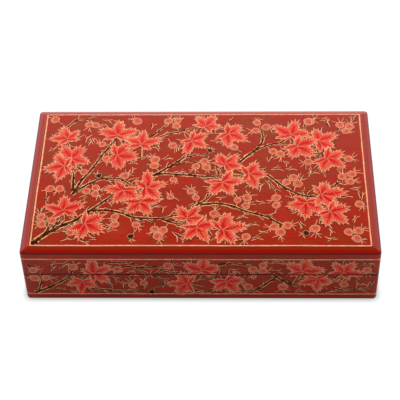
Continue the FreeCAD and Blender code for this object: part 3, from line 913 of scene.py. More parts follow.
    def sprig(self, spot: Vector, heading: float, length: float) -> None:
        """Paints a small forked twig with dark prongs and a gold one.

        Args:
            spot: its foot.
            heading: the way that it grows, in degrees.
            length: how long it is.
        """
        ahead = Matrix.Rotation(math.radians(heading), 3, "Z") @ Vector((1, 0, 0))
        aside = left_of(ahead)
        bend = self.draw.uniform(-0.2, 0.2)
        fork = spot + ahead * length * 0.45 + aside * length * bend * 0.2
        self.twig([spot, fork], 1.5, 0.85)
        for side, pot in PRONGS:
            way = (ahead + aside * (side + bend)).normalized()
            foot = spot + ahead * length * (0.45 if side <= 0 else 0.2)
            tip = foot + way * length * self.draw.uniform(0.5, 0.75)
            middle = (foot + tip) / 2 - aside * side * length * 0.08
            if pot == "gold":
                self.stroke([foot, middle, tip], self.whisker_width, self.line_lift * 0.9, tail=0.6)
            else:
                self.twig([foot, middle, tip], 1.3, 0.6)

    def twig(self, path: Sequence[Vector], share: float, tail: float) -> None:
        """Paints a thin dark twig with a gold line beside it.

        Args:
            path: its points from its foot.
            share: its width there, as a share of a whisker's.
            tail: its width at the tip, as a share of that.
        """
        width = self.whisker_width * share
        self.stroke(path, width, self.line_lift, tail=tail, pot="branches", gilding=self.twig_gilding)
        ahead = (path[-1] - path[0]).normalized()
        beside = right_of(ahead) * width * self.draw.choice((-self.twig_offset, self.twig_offset))
        self.stroke([spot + beside for spot in path], width * 0.55, self.line_lift * 0.9, tail=0.8)

    def stalks(self, spot: Vector, heading: float, length: float) -> None:
        """Paints the twigs that show from under a leaf, on its stalk's side and beside its tip.

        Args:
            spot: where the leaf's veins meet.
            heading: the way that its middle lobe points, in degrees.
            length: the leaf's length.
        """
        for turn in STALK_TURNS:
            ahead = way_of(math.radians(heading + turn + self.draw.uniform(-16, 16)))
            aside = left_of(ahead) * length * self.draw.uniform(-0.12, 0.12)
            reach = length * self.draw.uniform(0.75, 1.0)
            self.twig([spot, spot + ahead * reach * 0.6 + aside, spot + ahead * reach - aside], 1.4, 0.6)

    def twigs(self, path: Sequence[Vector]) -> None:
        """Paints short twigs that leave a branch at a slant, on one side and then on the other.

        Args:
            path: the branch's points.
        """
        side = self.draw.choice((-1, 1))
        run = 0.0
        due = self.twig_gap * self.draw.uniform(0.3, 1.0)
        for here, after in pairwise(smooth_path(path, 4)):
            run += (after - here).length
            if run < due:
                continue
            due = run + self.twig_gap * self.draw.uniform(0.6, 1.4)
            turn = Matrix.Rotation(math.radians(self.draw.uniform(16, 38)) * side, 3, "Z")
            way = turn @ (after - here).normalized()
            aside = left_of(way) * side * self.draw.uniform(-0.5, 0.2)
            length = self.draw.uniform(2.6, 6.5)
            twig = [after, after + way * length * 0.55 - aside, after + way * length + aside]
            self.twig(twig, 1.45, 0.55)
            side = -side

    def branch(self, path: Sequence[Vector], width: float, tail_width: float) -> None:
        """Paints a branch with a dark core between gold edges.

        Args:
            path: its points from the thick end.
            width: its full width there.
            tail_width: its width at the thin end.
        """
        self.stroke(path, width, self.branch_lift, tail=tail_width / width, pot="branches", fineness=5)


def mark_stroke(vert: Any, layer: Any, mark: float, run: float, shade: float) -> None:
    """Writes a stroke's own coordinates on a vertex: across it, along it, and its shade."""
    vert[layer] = Vector((mark, run, shade))


def smooth_path(path: Sequence[Vector], steps: int) -> list[Vector]:
    """Rounds a path through its points.

    Args:
        path: the points.
        steps: how many steps there are from one point to the next.

    Returns:
        Points on a smooth curve through the given ones.
    """
    if len(path) < 3:
        return [path[0].lerp(path[-1], s / steps) for s in range(steps + 1)]
    ends = [path[0] * 2 - path[1], *path, path[-1] * 2 - path[-2]]
    spots = []
    for a, b, c, d in zip(ends, ends[1:], ends[2:], ends[3:]):
        for step in range(steps):
            t = step / steps
            spots.append(
                (b * 2 + (c - a) * t + (a * 2 - b * 5 + c * 4 - d) * t * t
                 + (b * 3 - a - c * 3 + d) * t * t * t) / 2
            )
    spots.append(path[-1])
    return spots


def station(spot: Vector, ahead: Vector, out: Vector, half_width: float, lift: float) -> Matrix:
    """Returns the matrix that sets a stroke's section, a unit hexagon, at a point of its path.

    Args:
        spot: the point.
        ahead: the way the stroke runs.
        out: the way out of the surface.
        half_width: half the stroke's width.
        lift: its height.

    Returns:
        The matrix.
    """
    side = ahead.cross(out).normalized()
    turned = Matrix((side * half_width, out * lift, ahead * -1)).transposed().to_4x4()
    return Matrix.Translation(spot) @ turned


def sweep(
    motif: bmesh.types.BMesh, stations: Sequence[Matrix], mark: Callable[[Any, float, int], None]
) -> None:
    """Extrudes a hexagon through a row of stations, open at neither end.

    Args:
        motif: the bmesh to build in.
        stations: the matrices that set the section.
        mark: called with each vertex, its place across from -1 to 1, and its station's number.
    """
    verts = bmesh.ops.create_circle(motif, cap_ends=True, segments=6, radius=1.0)["verts"]
    across = {v: v.co.x for v in verts}
    edges = list({e for v in verts for e in v.link_edges})
    bmesh.ops.transform(motif, matrix=stations[0], verts=verts)
    for vert in verts:
        mark(vert, across[vert], 0)
    for number, (before, after) in enumerate(pairwise(stations), 1):
        grown = bmesh.ops.extrude_edge_only(motif, edges=edges)["geom"]
        verts = [g for g in grown if isinstance(g, bmesh.types.BMVert)]
        edges = [g for g in grown if isinstance(g, bmesh.types.BMEdge) and g.is_boundary]
        back = before.inverted()
        for vert in verts:
            mark(vert, (back @ vert.co).x, number)
        bmesh.ops.transform(motif, matrix=after @ back, verts=verts)
    bmesh.ops.holes_fill(motif, edges=edges)


# The layouts, given on each panel's grid.

TOP_LAYOUT = Layout(
    leaf_shares=(
        (6.9, 10.8, 110, 6.2), (8.9, 19.7, 54, 6.9), (7.2, 23.0, 188, 6.6), (22.8, 9.2, 87, 7.0),
        (23.3, 18.0, -10, 7.3), (30.7, 13.1, 82, 7.1), (50.9, 4.9, 58, 5.6), (46.6, 11.5, -40, 6.4),
        (58.1, 8.5, -28, 6.8), (57.4, 22.3, 53, 6.1), (64.6, 26.6, 4, 6.2), (78.1, 9.2, 77, 7.1),
        (86.8, 12.1, 35, 6.6), (79.9, 14.0, -42, 7.0), (89.0, 19.8, -38, 6.9), (8.8, 41.8, 96, 6.7),
        (26.4, 33.0, 245, 7.2), (15.3, 47.1, -31, 7.1), (31.7, 37.9, -59, 6.9), (33.1, 32.2, 20, 6.9),
        (46.1, 44.8, 58, 6.2), (49.1, 48.2, -61, 6.8), (56.6, 49.3, 14, 7.3), (56.6, 29.9, -63, 7.3),
        (81.9, 38.5, -98, 7.1), (86.7, 35.1, 10, 7.2), (89.0, 42.3, -44, 6.6),
    ),
    berry_shares=(
        (2.3, 2.0, 1.4), (13.5, 4.3, 1.3), (15.7, 4.6, 1.2), (28.9, 2.8, 1.5), (18.4, 13.3, 1.1),
        (20.0, 19.7, 1.2), (13.5, 25.6, 1.2), (26.2, 27.1, 1.3), (38.9, 2.8, 1.3), (42.0, 2.5, 1.1),
        (41.5, 4.9, 1.3), (40.7, 13.8, 1.3), (35.4, 20.2, 1.4), (35.1, 22.8, 1.3), (50.7, 20.9, 1.2),
        (48.2, 23.1, 1.2), (51.4, 23.5, 1.3), (67.3, 3.6, 1.2), (70.3, 5.6, 1.4), (66.9, 7.2, 1.2),
        (84.1, 3.1, 1.6), (60.0, 14.8, 1.2), (72.2, 16.4, 1.2), (74.5, 17.7, 1.3), (83.1, 21.3, 1.3),
        (93.8, 4.7, 1.3), (96.8, 5.2, 1.4), (95.5, 7.5, 1.2), (95.6, 19.8, 1.3), (96.3, 26.4, 1.3),
        (93.3, 27.6, 1.3), (95.5, 29.5, 1.3), (3.6, 32.6, 1.3), (6.6, 32.5, 1.3), (2.0, 44.3, 1.3),
        (5.4, 45.7, 1.3), (2.5, 47.2, 1.3), (14.8, 33.6, 1.2), (17.6, 32.2, 1.2), (17.6, 34.8, 1.2),
        (11.5, 50.4, 1.3), (24.3, 44.3, 1.2), (24.4, 47.2, 1.2), (30.8, 47.4, 1.2), (41.3, 28.9, 1.0),
        (40.7, 36.1, 1.0), (46.9, 33.7, 1.2), (48.4, 36.4, 1.1), (36.4, 49.2, 1.2), (39.0, 49.5, 1.3),
        (37.4, 52.0, 1.3), (54.1, 43.0, 1.4), (64.0, 36.4, 1.3), (61.2, 37.4, 1.1), (63.6, 39.7, 1.2),
        (72.8, 36.4, 1.3), (72.8, 39.4, 1.2), (76.1, 29.9, 1.3), (79.6, 30.5, 1.4), (78.4, 27.9, 1.2),
        (72.0, 48.2, 1.3), (75.8, 47.7, 1.4), (73.8, 50.2, 1.4), (84.0, 48.9, 1.4), (63.6, 52.2, 1.3),
        (97.9, 39.0, 1.3), (94.0, 50.2, 1.3), (97.0, 49.7, 1.3), (96.1, 52.8, 1.3),
    ),
    bud_shares=((18.2, 27.1, 0.9), (52.4, 16.1, 0.8), (29.5, 52.0, 0.95), (81.4, 50.7, 0.95)),
    branch_shares=(
        (1.9, 0.8, ((0.3, 55.1), (2.6, 52.5), (5.2, 50.2), (8.9, 47.6), (12.1, 45.9), (15.1, 43.0),
                    (17.4, 41.0), (19.7, 38.7), (22.6, 35.8))),
        (0.7, 0.4, ((3.3, 51.5), (4.3, 49.4), (4.9, 47.6))),
        (0.7, 0.4, ((3.9, 50.5), (5.8, 47.4), (7.2, 44.6))),
        (0.7, 0.4, ((5.9, 48.9), (7.4, 46.6), (8.5, 44.6))),
        (0.6, 0.3, ((5.6, 50.2), (8.2, 50.1), (10.8, 49.5))),
        (1.2, 0.8, ((16.7, 41.7), (19.7, 41.5), (23.0, 41.8), (26.2, 42.7), (29.5, 44.3), (32.8, 44.8),
                    (36.7, 44.9), (39.4, 44.6), (42.0, 43.5))),
        (1.0, 0.6, ((38.7, 45.3), (42.0, 46.7), (45.6, 46.7))),
        (0.5, 0.3, ((28.2, 43.3), (29.6, 44.6), (30.5, 45.6))),
        (0.6, 0.4, ((34.1, 45.3), (35.2, 46.0), (36.1, 46.9))),
        (1.2, 0.6, ((10.8, 33.5), (10.5, 30.2), (10.2, 26.2), (8.9, 23.0))),
        (1.1, 0.7, ((10.8, 34.8), (13.1, 28.9), (15.1, 25.6), (17.2, 21.3), (19.0, 17.4), (21.7, 12.5),
                    (22.8, 9.8))),
        (1.0, 0.6, ((10.5, 35.1), (14.1, 31.5), (16.4, 29.9), (19.0, 28.5), (22.3, 28.2), (24.9, 28.5),
                    (27.6, 30.5), (29.5, 32.2), (31.8, 36.4))),
        (1.2, 0.7, ((34.8, 27.2), (37.4, 25.3), (40.7, 22.6), (43.3, 20.3), (45.6, 18.0))),
        (0.7, 0.4, ((40.7, 23.0), (44.6, 21.3), (49.5, 20.9))),
        (0.7, 0.4, ((45.3, 19.0), (48.6, 18.0), (52.5, 17.4))),
        (1.1, 0.7, ((35.4, 26.9), (38.7, 26.2), (42.7, 26.6), (47.2, 27.0), (51.8, 27.4), (57.1, 27.1),
                    (61.7, 27.0))),
        (0.9, 0.5, ((6.4, 5.6), (8.9, 2.3), (9.8, 2.0), (13.1, 2.0))),
        (0.9, 0.5, ((33.8, 9.8), (36.1, 7.2), (38.1, 4.9))),
        (0.9, 0.5, ((36.1, 10.2), (39.4, 8.5), (43.3, 7.5), (47.2, 5.9))),
        (1.1, 0.6, ((62.0, 21.0), (64.6, 18.0), (66.3, 16.4), (68.2, 13.8), (69.2, 11.2), (69.0, 8.5),
                    (68.6, 5.9))),
        (0.8, 0.5, ((66.3, 16.4), (68.9, 14.8), (71.5, 13.5), (74.1, 12.8), (76.4, 13.1))),
        (1.0, 0.8, ((70.5, 26.9), (72.8, 29.5), (75.5, 32.2), (78.7, 34.4), (82.0, 35.8), (85.0, 36.0))),
        (0.8, 0.5, ((69.9, 28.9), (71.5, 31.2), (73.0, 33.8))),
        (1.1, 0.8, ((49.5, 39.4), (52.5, 38.9), (54.8, 38.8), (59.1, 39.7), (63.0, 41.7), (65.6, 42.7),
                    (69.6, 44.1), (72.2, 45.9), (74.1, 47.2))),
        (0.6, 0.4, ((69.6, 43.6), (71.5, 43.6))),
        (1.0, 0.6, ((48.2, 39.7), (50.5, 38.1), (52.2, 36.4), (53.3, 34.8))),
        (0.8, 0.5, ((46.3, 40.0), (48.2, 38.7))),
        (0.8, 0.5, ((90.6, 31.8), (91.9, 30.2), (93.8, 30.2), (95.1, 29.9))),
        (0.5, 0.3, ((84.6, 45.3), (85.0, 46.3))), (0.5, 0.3, ((86.0, 40.0), (86.9, 41.0))),
        (0.5, 0.3, ((84.6, 16.4), (86.3, 18.7))), (0.5, 0.3, ((81.4, 6.6), (83.3, 4.9))),
        (0.5, 0.3, ((91.5, 8.2), (93.8, 6.9))), (0.5, 0.3, ((57.7, 4.6), (58.7, 1.3))),
        (0.6, 0.4, ((52.5, 45.9), (53.8, 44.6))), (0.5, 0.3, ((7.5, 31.5), (8.0, 33.5), (8.2, 35.8))),
        (0.5, 0.3, ((15.7, 34.4), (14.6, 36.4), (13.1, 38.7))),
    ),
    sprig_shares=(
        (12.5, 12.4, 70), (13.6, 13.6, 65), (2.3, 11.2, 80), (2.0, 16.6, 60), (4.0, 15.0, 75),
        (3.3, 38.6, 100), (1.4, 43.0, 80), (22.2, 50.0, 25), (19.4, 53.0, 160), (36.7, 16.2, 110),
        (31.0, 19.6, 30), (33.2, 6.2, 65), (22.6, 27.0, 200), (15.7, 13.2, 105), (27.8, 25.8, 60),
        (42.2, 16.8, 85), (41.6, 25.8, 15), (42.4, 7.9, 20), (71.5, 24.2, 0), (76.1, 24.6, 15),
        (70.3, 21.0, 65), (75.6, 20.4, -60), (83.3, 23.0, -80), (93.0, 25.6, 80), (95.5, 32.2, -20),
        (92.6, 36.2, 20), (95.4, 46.4, 70), (88.3, 48.0, -75), (77.2, 42.6, 20), (70.0, 50.2, 185),
        (64.2, 47.6, 15), (65.0, 53.2, 20), (38.1, 42.4, 75), (42.0, 50.0, -60), (44.0, 51.8, -55),
        (98.0, 3.4, 80), (87.6, 2.2, 10), (90.2, 5.6, 100), (98.2, 37.4, 70), (37.6, 20.2, 25),
        (52.6, 12.2, 20), (17.9, 1.6, -20), (24.5, 2.2, 200), (47.5, 15.8, 75), (62.0, 12.4, 20),
        (27.0, 21.5, 5), (20.8, 37.6, -30), (29.0, 41.0, 200), (34.5, 40.6, 25), (57.5, 35.6, 210),
        (67.5, 33.8, 75), (69.5, 38.2, 180), (82.8, 26.4, 20), (88.5, 27.6, 110), (91.5, 21.8, -60),
        (60.5, 44.6, 20), (79.4, 46.0, -70), (90.5, 52.6, 190), (14.4, 53.2, -25), (8.6, 53.6, 20),
    ),
)

FRONT_LAYOUT = Layout(
    leaf_shares=(
        (15.8, 12.2, -100, 5.3), (19.4, 8.2, 28, 6.2), (46.0, 13.0, 176, 6.4), (50.4, 6.9, 84, 6.2),
        (57.4, 11.8, -60, 6.4), (79.2, 7.4, 80, 6.3), (83.2, 10.8, -86, 5.9), (90.9, 7.8, 60, 5.8),
    ),
    berry_shares=(
        (2.1, 6.8, 1.3), (2.3, 10.4, 1.4), (5.4, 10.2, 1.25), (13.7, 5.5, 1.3), (26.5, 6.4, 1.35),
        (40.8, 5.0, 1.4), (30.3, 13.5, 1.35), (33.6, 12.6, 1.1), (65.0, 6.4, 1.3), (67.9, 4.8, 1.2),
        (67.9, 7.0, 1.15), (63.7, 14.2, 1.4), (73.7, 14.2, 1.4), (97.5, 6.8, 1.3), (91.2, 13.1, 1.2),
        (65.2, 9.9, 0.8),
    ),
    bud_shares=((35.7, 16.6, 0.9),),
    branch_shares=(
        (1.2, 0.6, ((1.6, 17.1), (5.6, 14.9), (8.8, 12.6), (11.5, 10.4), (13.3, 7.3))),
        (0.8, 0.5, ((2.7, 16.7), (3.4, 14.0), (4.1, 11.3), (3.4, 8.6))),
        (0.6, 0.4, ((5.8, 14.9), (8.6, 15.4), (10.8, 15.2))),
        (0.8, 0.5, ((19.1, 15.3), (22.5, 15.7), (25.8, 16.0), (30.3, 15.9), (33.5, 15.4))),
        (0.8, 0.5, ((24.0, 3.5), (28.9, 3.6), (31.6, 4.1))),
        (0.95, 0.6, ((28.9, 5.2), (31.6, 5.5), (34.8, 5.6), (38.6, 5.5))),
        (0.6, 0.4, ((31.6, 5.9), (32.8, 7.1), (33.9, 8.5))),
        (0.8, 0.5, ((39.2, 7.2), (41.2, 7.6), (43.0, 8.2))),
        (0.9, 0.5, ((36.6, 9.5), (38.4, 10.7), (40.4, 11.8))),
        (0.6, 0.4, ((40.2, 12.0), (38.5, 13.9), (36.0, 15.3))),
        (0.9, 0.5, ((55.4, 4.4), (59.2, 4.0), (62.0, 4.3), (64.0, 5.4))),
        (0.6, 0.4, ((62.9, 8.7), (61.2, 10.9), (62.9, 12.7))),
        (1.1, 0.6, ((65.4, 16.0), (67.5, 14.4), (69.7, 11.9), (71.7, 9.9), (72.9, 8.4))),
        (1.0, 0.6, ((70.6, 8.6), (72.4, 10.4), (74.2, 12.0), (76.2, 13.1))),
        (0.6, 0.4, ((66.5, 7.9), (65.9, 9.0), (65.4, 9.9))),
        (0.6, 0.4, ((62.0, 15.9), (64.0, 16.2), (66.1, 15.8))),
        (0.9, 0.5, ((88.5, 14.9), (91.2, 15.8), (94.8, 15.3), (98.0, 14.9), (99.2, 12.2))),
        (0.7, 0.4, ((95.7, 4.1), (97.6, 4.2), (99.3, 4.6))),
        (0.7, 0.4, ((75.1, 11.3), (76.9, 13.5), (78.7, 14.9))),
        (0.7, 0.4, ((0.7, 4.6), (1.2, 5.6), (0.8, 7.8))),
    ),
    sprig_shares=(
        (7.6, 7.6, 70), (9.8, 6.6, 60), (7.2, 4.2, 20), (10.4, 4.4, 10), (26.6, 11.4, -60), (28.8, 7.6, 10),
        (38.6, 14.6, 60), (42.2, 16.9, 10), (69.8, 3.7, 5), (70.4, 7.2, -10), (58.4, 6.6, -20),
        (24.8, 14.6, 120), (41.8, 3.0, 75), (37.2, 8.2, 30), (75.6, 4.4, 160), (76.6, 8.2, 200),
        (87.6, 13.4, 60), (94.2, 11.2, -60), (95.0, 13.4, 20), (86.2, 16.6, 10), (47.8, 16.8, 20),
        (60.0, 16.8, 170), (11.6, 16.4, -10), (35.8, 10.4, 100), (29.6, 10.0, 30), (99.0, 9.6, 110),
        (52.6, 16.6, -160), (24.0, 9.6, -40), (77.0, 16.6, 20),
    ),
)

END_LAYOUT = Layout(
    leaf_shares=(
        (14.0, 14.0, 40, 8.6), (31.0, 23.0, 160, 8.2), (42.0, 12.5, 80, 9.0), (58.0, 21.0, -30, 8.8),
        (71.0, 12.0, 130, 8.6), (86.0, 20.0, 20, 8.4),
    ),
    berry_shares=(
        (6.0, 9.0, 2.2), (22.0, 9.0, 2.1), (24.0, 27.0, 2.2), (49.0, 27.0, 2.1), (51.0, 8.0, 2.0),
        (66.0, 26.5, 2.2), (79.0, 27.0, 2.2), (80.5, 9.0, 2.1), (93.0, 9.5, 2.2), (8.0, 25.0, 2.2),
        (95.0, 26.0, 2.1),
    ),
    bud_shares=((37.0, 8.4, 1.4),),
    branch_shares=(
        (2.0, 1.0, ((3.0, 28.5), (9.0, 22.0), (13.0, 18.0), (20.0, 16.0), (28.0, 17.5))),
        (1.6, 1.0, ((28.0, 27.5), (36.0, 25.0), (44.0, 20.0), (52.0, 17.0), (62.0, 16.0))),
        (1.6, 1.0, ((60.0, 27.5), (68.0, 22.0), (76.0, 20.5), (82.0, 16.0), (88.0, 12.0))),
        (1.2, 0.7, ((84.0, 27.0), (90.0, 24.5), (96.0, 21.0))),
    ),
    sprig_shares=(
        (18.0, 26.0, 30), (28.0, 9.0, 160), (36.0, 18.0, 200), (47.0, 15.0, -20), (64.0, 8.0, 150),
        (73.0, 24.0, 70), (90.0, 15.0, 40), (4.0, 16.0, 80), (55.0, 12.0, 60), (87.0, 28.0, 190),
    ),
)


# The box: its sizes and its pieces.


@dataclass
class BoxSizes:
    """The sizes that the paint follows, in millimetres; the CAD frame gives the rest."""

    width: float = 228.0
    depth: float = 131.0
    height: float = 45.9
    corner_radius: float = 2.4
    arris: float = 44.1
    base_rim: float = 24.3
    lid_rim: float = 24.6
    rim_round: float = 0.42
    end_inset: float = 6.2
    front_inset: float = 5.9
    back_inset: float = 5.3
    lid_line: float = 39.3
    base_line: float = 4.9
    line_width: float = 1.0
    line_step: float = 4.0

    @property
    def half_width(self) -> float:
        """Half of the width."""
        return self.width / 2

    @property
    def half_depth(self) -> float:
        """Half of the depth."""
        return self.depth / 2


def slice_mesh(made: bmesh.types.BMesh, spot: Vector, way: Vector, clear: bool) -> list[Any]:
    """Cuts a whole mesh along a plane.

    Args:
        made: the mesh.
        spot: a point of the plane.
        way: the plane's normal.
        clear: whether what lies on the normal's side goes.

    Returns:
        The vertices and edges that lie in the cut.
    """
    return bmesh.ops.bisect_plane(
        made, geom=made.verts[:] + made.edges[:] + made.faces[:], dist=CUT_TOLERANCE,
        plane_co=spot, plane_no=way, clear_outer=clear,
    )["geom_cut"]


def link_mesh(name: str, made: bmesh.types.BMesh) -> bpy.types.Object:
    """Makes an object of a bmesh and puts it in the scene.

    Args:
        name: the object's and the mesh's name.
        made: the bmesh, which is used up.

    Returns:
        The object.
    """
    mesh = bpy.data.meshes.new(name)
    made.to_mesh(mesh)
    made.free()
    piece = bpy.data.objects.new(name, mesh)
    bpy.context.scene.collection.objects.link(piece)
    return piece


def finish_piece(
    name: str, made: bmesh.types.BMesh, finishes: Sequence[Finish], body: Body
) -> bpy.types.Object:
    """Turns a bmesh in the row frame's metres into a piece of the box.

    Args:
        name: the piece's name.
        made: its mesh, which is used up.
        finishes: its finishes, in the order of its faces' material numbers.
        body: the body that it rides on.

    Returns:
        The piece.
    """
    bmesh.ops.recalc_face_normals(made, faces=made.faces[:])
    piece = link_mesh(name, made)
    for finish in finishes:
        piece.data.materials.append(finish.material())
    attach(piece, body.value)
    log.info("%s: %d faces on the %s", name, len(piece.data.polygons), body.value)
    return piece


POT_FINISHES: dict[str, tuple[Finish, ...]] = {
    "leaves": (LEAF_PAINT, GOLD_PAINT, CONTOUR_PAINT),
    "berries": (BERRY_PAINT, GOLD_PAINT, CONTOUR_PAINT),
    "buds": (BUD_PAINT, GOLD_PAINT, CONTOUR_PAINT),
    "branches": (BRANCH_PAINT,),
    "gold": (GOLD_PAINT,),
}


@dataclass
class PaintedPanel:
    """The pattern on one face of the box, split where the lid parts from the base."""

    panel: Panel
    layout: Layout
    seed: int
    splits: tuple[tuple[Body, float, float], ...]
    sprig_length: float = 7.2
    branch_share: float = 1.35

    def paint(self) -> dict[str, bmesh.types.BMesh]:
        """Paints every motif of the layout.

        Returns:
            The strokes by pot, in the panel's own millimetres.
        """
        brush = Brush(self.seed)
        panel = self.panel
        stems: list[Vector] = []
        for width, tail, path in self.layout.branch_shares:
            spots = [panel.spot(p) for p in path]
            stems += smooth_path(spots, 4)
            thick, thin = (panel.length(units) * self.branch_share for units in (width, tail))
            brush.branch(spots, thick, thin)
            brush.twigs(spots)
        for x, y, heading, length in self.layout.leaf_shares:
            brush.stalks(panel.spot((x, y)), heading, panel.length(length))
        for x, y, heading in self.layout.sprig_shares:
            brush.sprig(panel.spot((x, y)), heading, self.sprig_length * brush.draw.uniform(0.8, 1.25))
        for x, y, radius in self.layout.berry_shares:
            self._hang(brush, panel.spot((x, y)), panel.length(radius), stems, "berries")
        for x, y, radius in self.layout.bud_shares:
            self._hang(brush, panel.spot((x, y)), panel.length(radius), stems, "buds")
        for rank, (x, y, heading, length) in enumerate(self.layout.leaf_shares):
            brush.leaf(panel.spot((x, y)), heading, panel.length(length), rank)
        return brush.strokes

    @staticmethod
    def _hang(brush: Brush, spot: Vector, radius: float, stems: list[Vector], pot: str) -> None:
        """Paints a berry or bud, with a stalk towards the nearest branch.

        Args:
            brush: the panel's brush.
            spot: its middle.
            radius: its size.
            stems: points along the branches.
            pot: berries or buds.
        """
        near = min(stems, key=lambda s: (s - spot).length)
        back = (near - spot).normalized()
        gap = (near - spot).length
        if radius < gap < STALK_GAP:
            run = min(gap, radius + STALK_RUN)
            bend = left_of(back) * brush.draw.uniform(-0.8, 0.8)
            path = [spot + back * radius * 0.9, spot + back * run * 0.6 + bend, spot + back * run]
            brush.twig(path, 1.4, 0.7)
        away = math.degrees(math.atan2(-back.y, -back.x)) + brush.draw.uniform(-40, 40)
        brush.berry(spot, radius, away, pot)

    def build(self) -> None:
        """Makes the pieces of this panel, one for each pot of paint and body."""
        panel = self.panel
        for pot, strokes in self.paint().items():
            for body, low, high in self.splits:
                part = strokes.copy()
                left, right = -panel.width / 2, panel.width / 2
                for spot, way in (
                    ((0, low, 0), (0, -1, 0)), ((0, high, 0), (0, 1, 0)),
                    ((left, 0, 0), (-1, 0, 0)), ((right, 0, 0), (1, 0, 0)),
                ):
                    self._trim(part, Vector(spot), Vector(way))
                if not part.faces:
                    part.free()
                    continue
                part.transform(panel.frame())
                name = f"{body.value}_{panel.title}_{pot}"
                finish_piece(name, part, POT_FINISHES[pot], body)
            strokes.free()

    @staticmethod
    def _trim(part: bmesh.types.BMesh, spot: Vector, way: Vector) -> None:
        """Cuts off what lies beyond a plane and closes the cut motifs.

        Args:
            part: the strokes.
            spot: a point of the plane.
            way: the side that goes.
        """
        cut = slice_mesh(part, spot, way, True)
        edges = [g for g in cut if isinstance(g, bmesh.types.BMEdge) and g.is_boundary]
        bmesh.ops.holes_fill(part, edges=edges)


@dataclass
class GoldLines:
    """The gold lines: a rectangle on the lid's top, and one line round the lid and one round the base."""

    sizes: BoxSizes
    lift: float = 0.06
    wobble: float = 0.12
    back_share: float = 0.68
    seed: int = 61

    def build(self) -> None:
        """Makes the three lines."""
        s = self.sizes
        shift = (s.front_inset - s.back_inset) / 2
        top = self._ring(s.half_width - s.end_inset, s.half_depth - s.back_inset - shift, 0.6)
        self._line("lid_top_gold_line", Body.LID, [(x, y + shift, s.height) for x, y in top], None)
        round_box = self._ring(s.half_width, s.half_depth, s.corner_radius)
        self._line("lid_side_gold_line", Body.LID, [(x, y, s.lid_line) for x, y in round_box], round_box)
        self._line("base_side_gold_line", Body.BASE, [(x, y, s.base_line) for x, y in round_box], round_box)

    def _ring(self, half_x: float, half_y: float, radius: float) -> list[Point]:
        """Returns points round a rectangle with rounded corners, anticlockwise.

        Args:
            half_x: half its length.
            half_y: half its depth.
            radius: its corners' radius.

        Returns:
            The points, with none twice.
        """
        corners = ((1, -1, 270), (1, 1, 0), (-1, 1, 90), (-1, -1, 180))

        def on_arc(corner: tuple[int, int, int], turn: int) -> Point:
            """Returns the point of a corner's arc after a turn in degrees."""
            angle = math.radians(corner[2] + turn)
            x = corner[0] * (half_x - radius) + radius * math.cos(angle)
            return x, corner[1] * (half_y - radius) + radius * math.sin(angle)

        spots: list[Point] = []
        for corner, after in zip(corners, corners[1:] + corners[:1]):
            spots += [on_arc(corner, turn) for turn in range(0, 91, 15)]
            here, target = spots[-1], on_arc(after, 0)
            pieces = max(1, round(math.dist(here, target) / self.sizes.line_step))
            for part in range(1, pieces):
                share = part / pieces
                spots.append(tuple(a + (b - a) * share for a, b in zip(here, target)))
        return spots

    def _line(
        self, name: str, body: Body, spots: list[tuple[float, float, float]], side: list[Point] | None
    ) -> None:
        """Makes one closed line.

        Args:
            name: the piece's name.
            body: its body.
            spots: its path, closed from the last point to the first.
            side: None on the top; the path itself where the line runs round the sides.
        """
        draw = random.Random(self.seed + len(name))
        made = bmesh.new()
        layer = made.verts.layers.float_vector.new(MOTIF)
        path = [Vector(p) for p in spots]
        count = len(path)
        stations = []
        for number in range(count + 1):
            here = path[number % count]
            ahead = (path[(number + 1) % count] - path[(number - 1) % count]).normalized()
            out = Vector((0, 0, 1)) if side is None else right_of(ahead)
            across = ahead.cross(out).normalized()
            sway = noise.noise(here * 0.06 + Vector((0, 0, self.seed))) * self.wobble * 2
            half = self.sizes.line_width / 2 * (1 + 0.22 * noise.noise(here * 0.35))
            if side is None and ahead.x < -0.9:
                half *= self.back_share
            stations.append(station(here + across * sway, ahead, out, half, self.lift))
        shade = draw.random()
        sweep(made, stations, lambda vert, mark, number: mark_stroke(vert, layer, mark, number, shade))
        caps = [f for f in made.faces if len(f.verts) == 6]
        bmesh.ops.delete(made, geom=caps, context="FACES_ONLY")
        bmesh.ops.remove_doubles(made, verts=made.verts[:], dist=MERGE_DISTANCE)
        made.transform(Matrix.Scale(MM, 4))
        finish_piece(name, made, (GOLD_PAINT,), body)


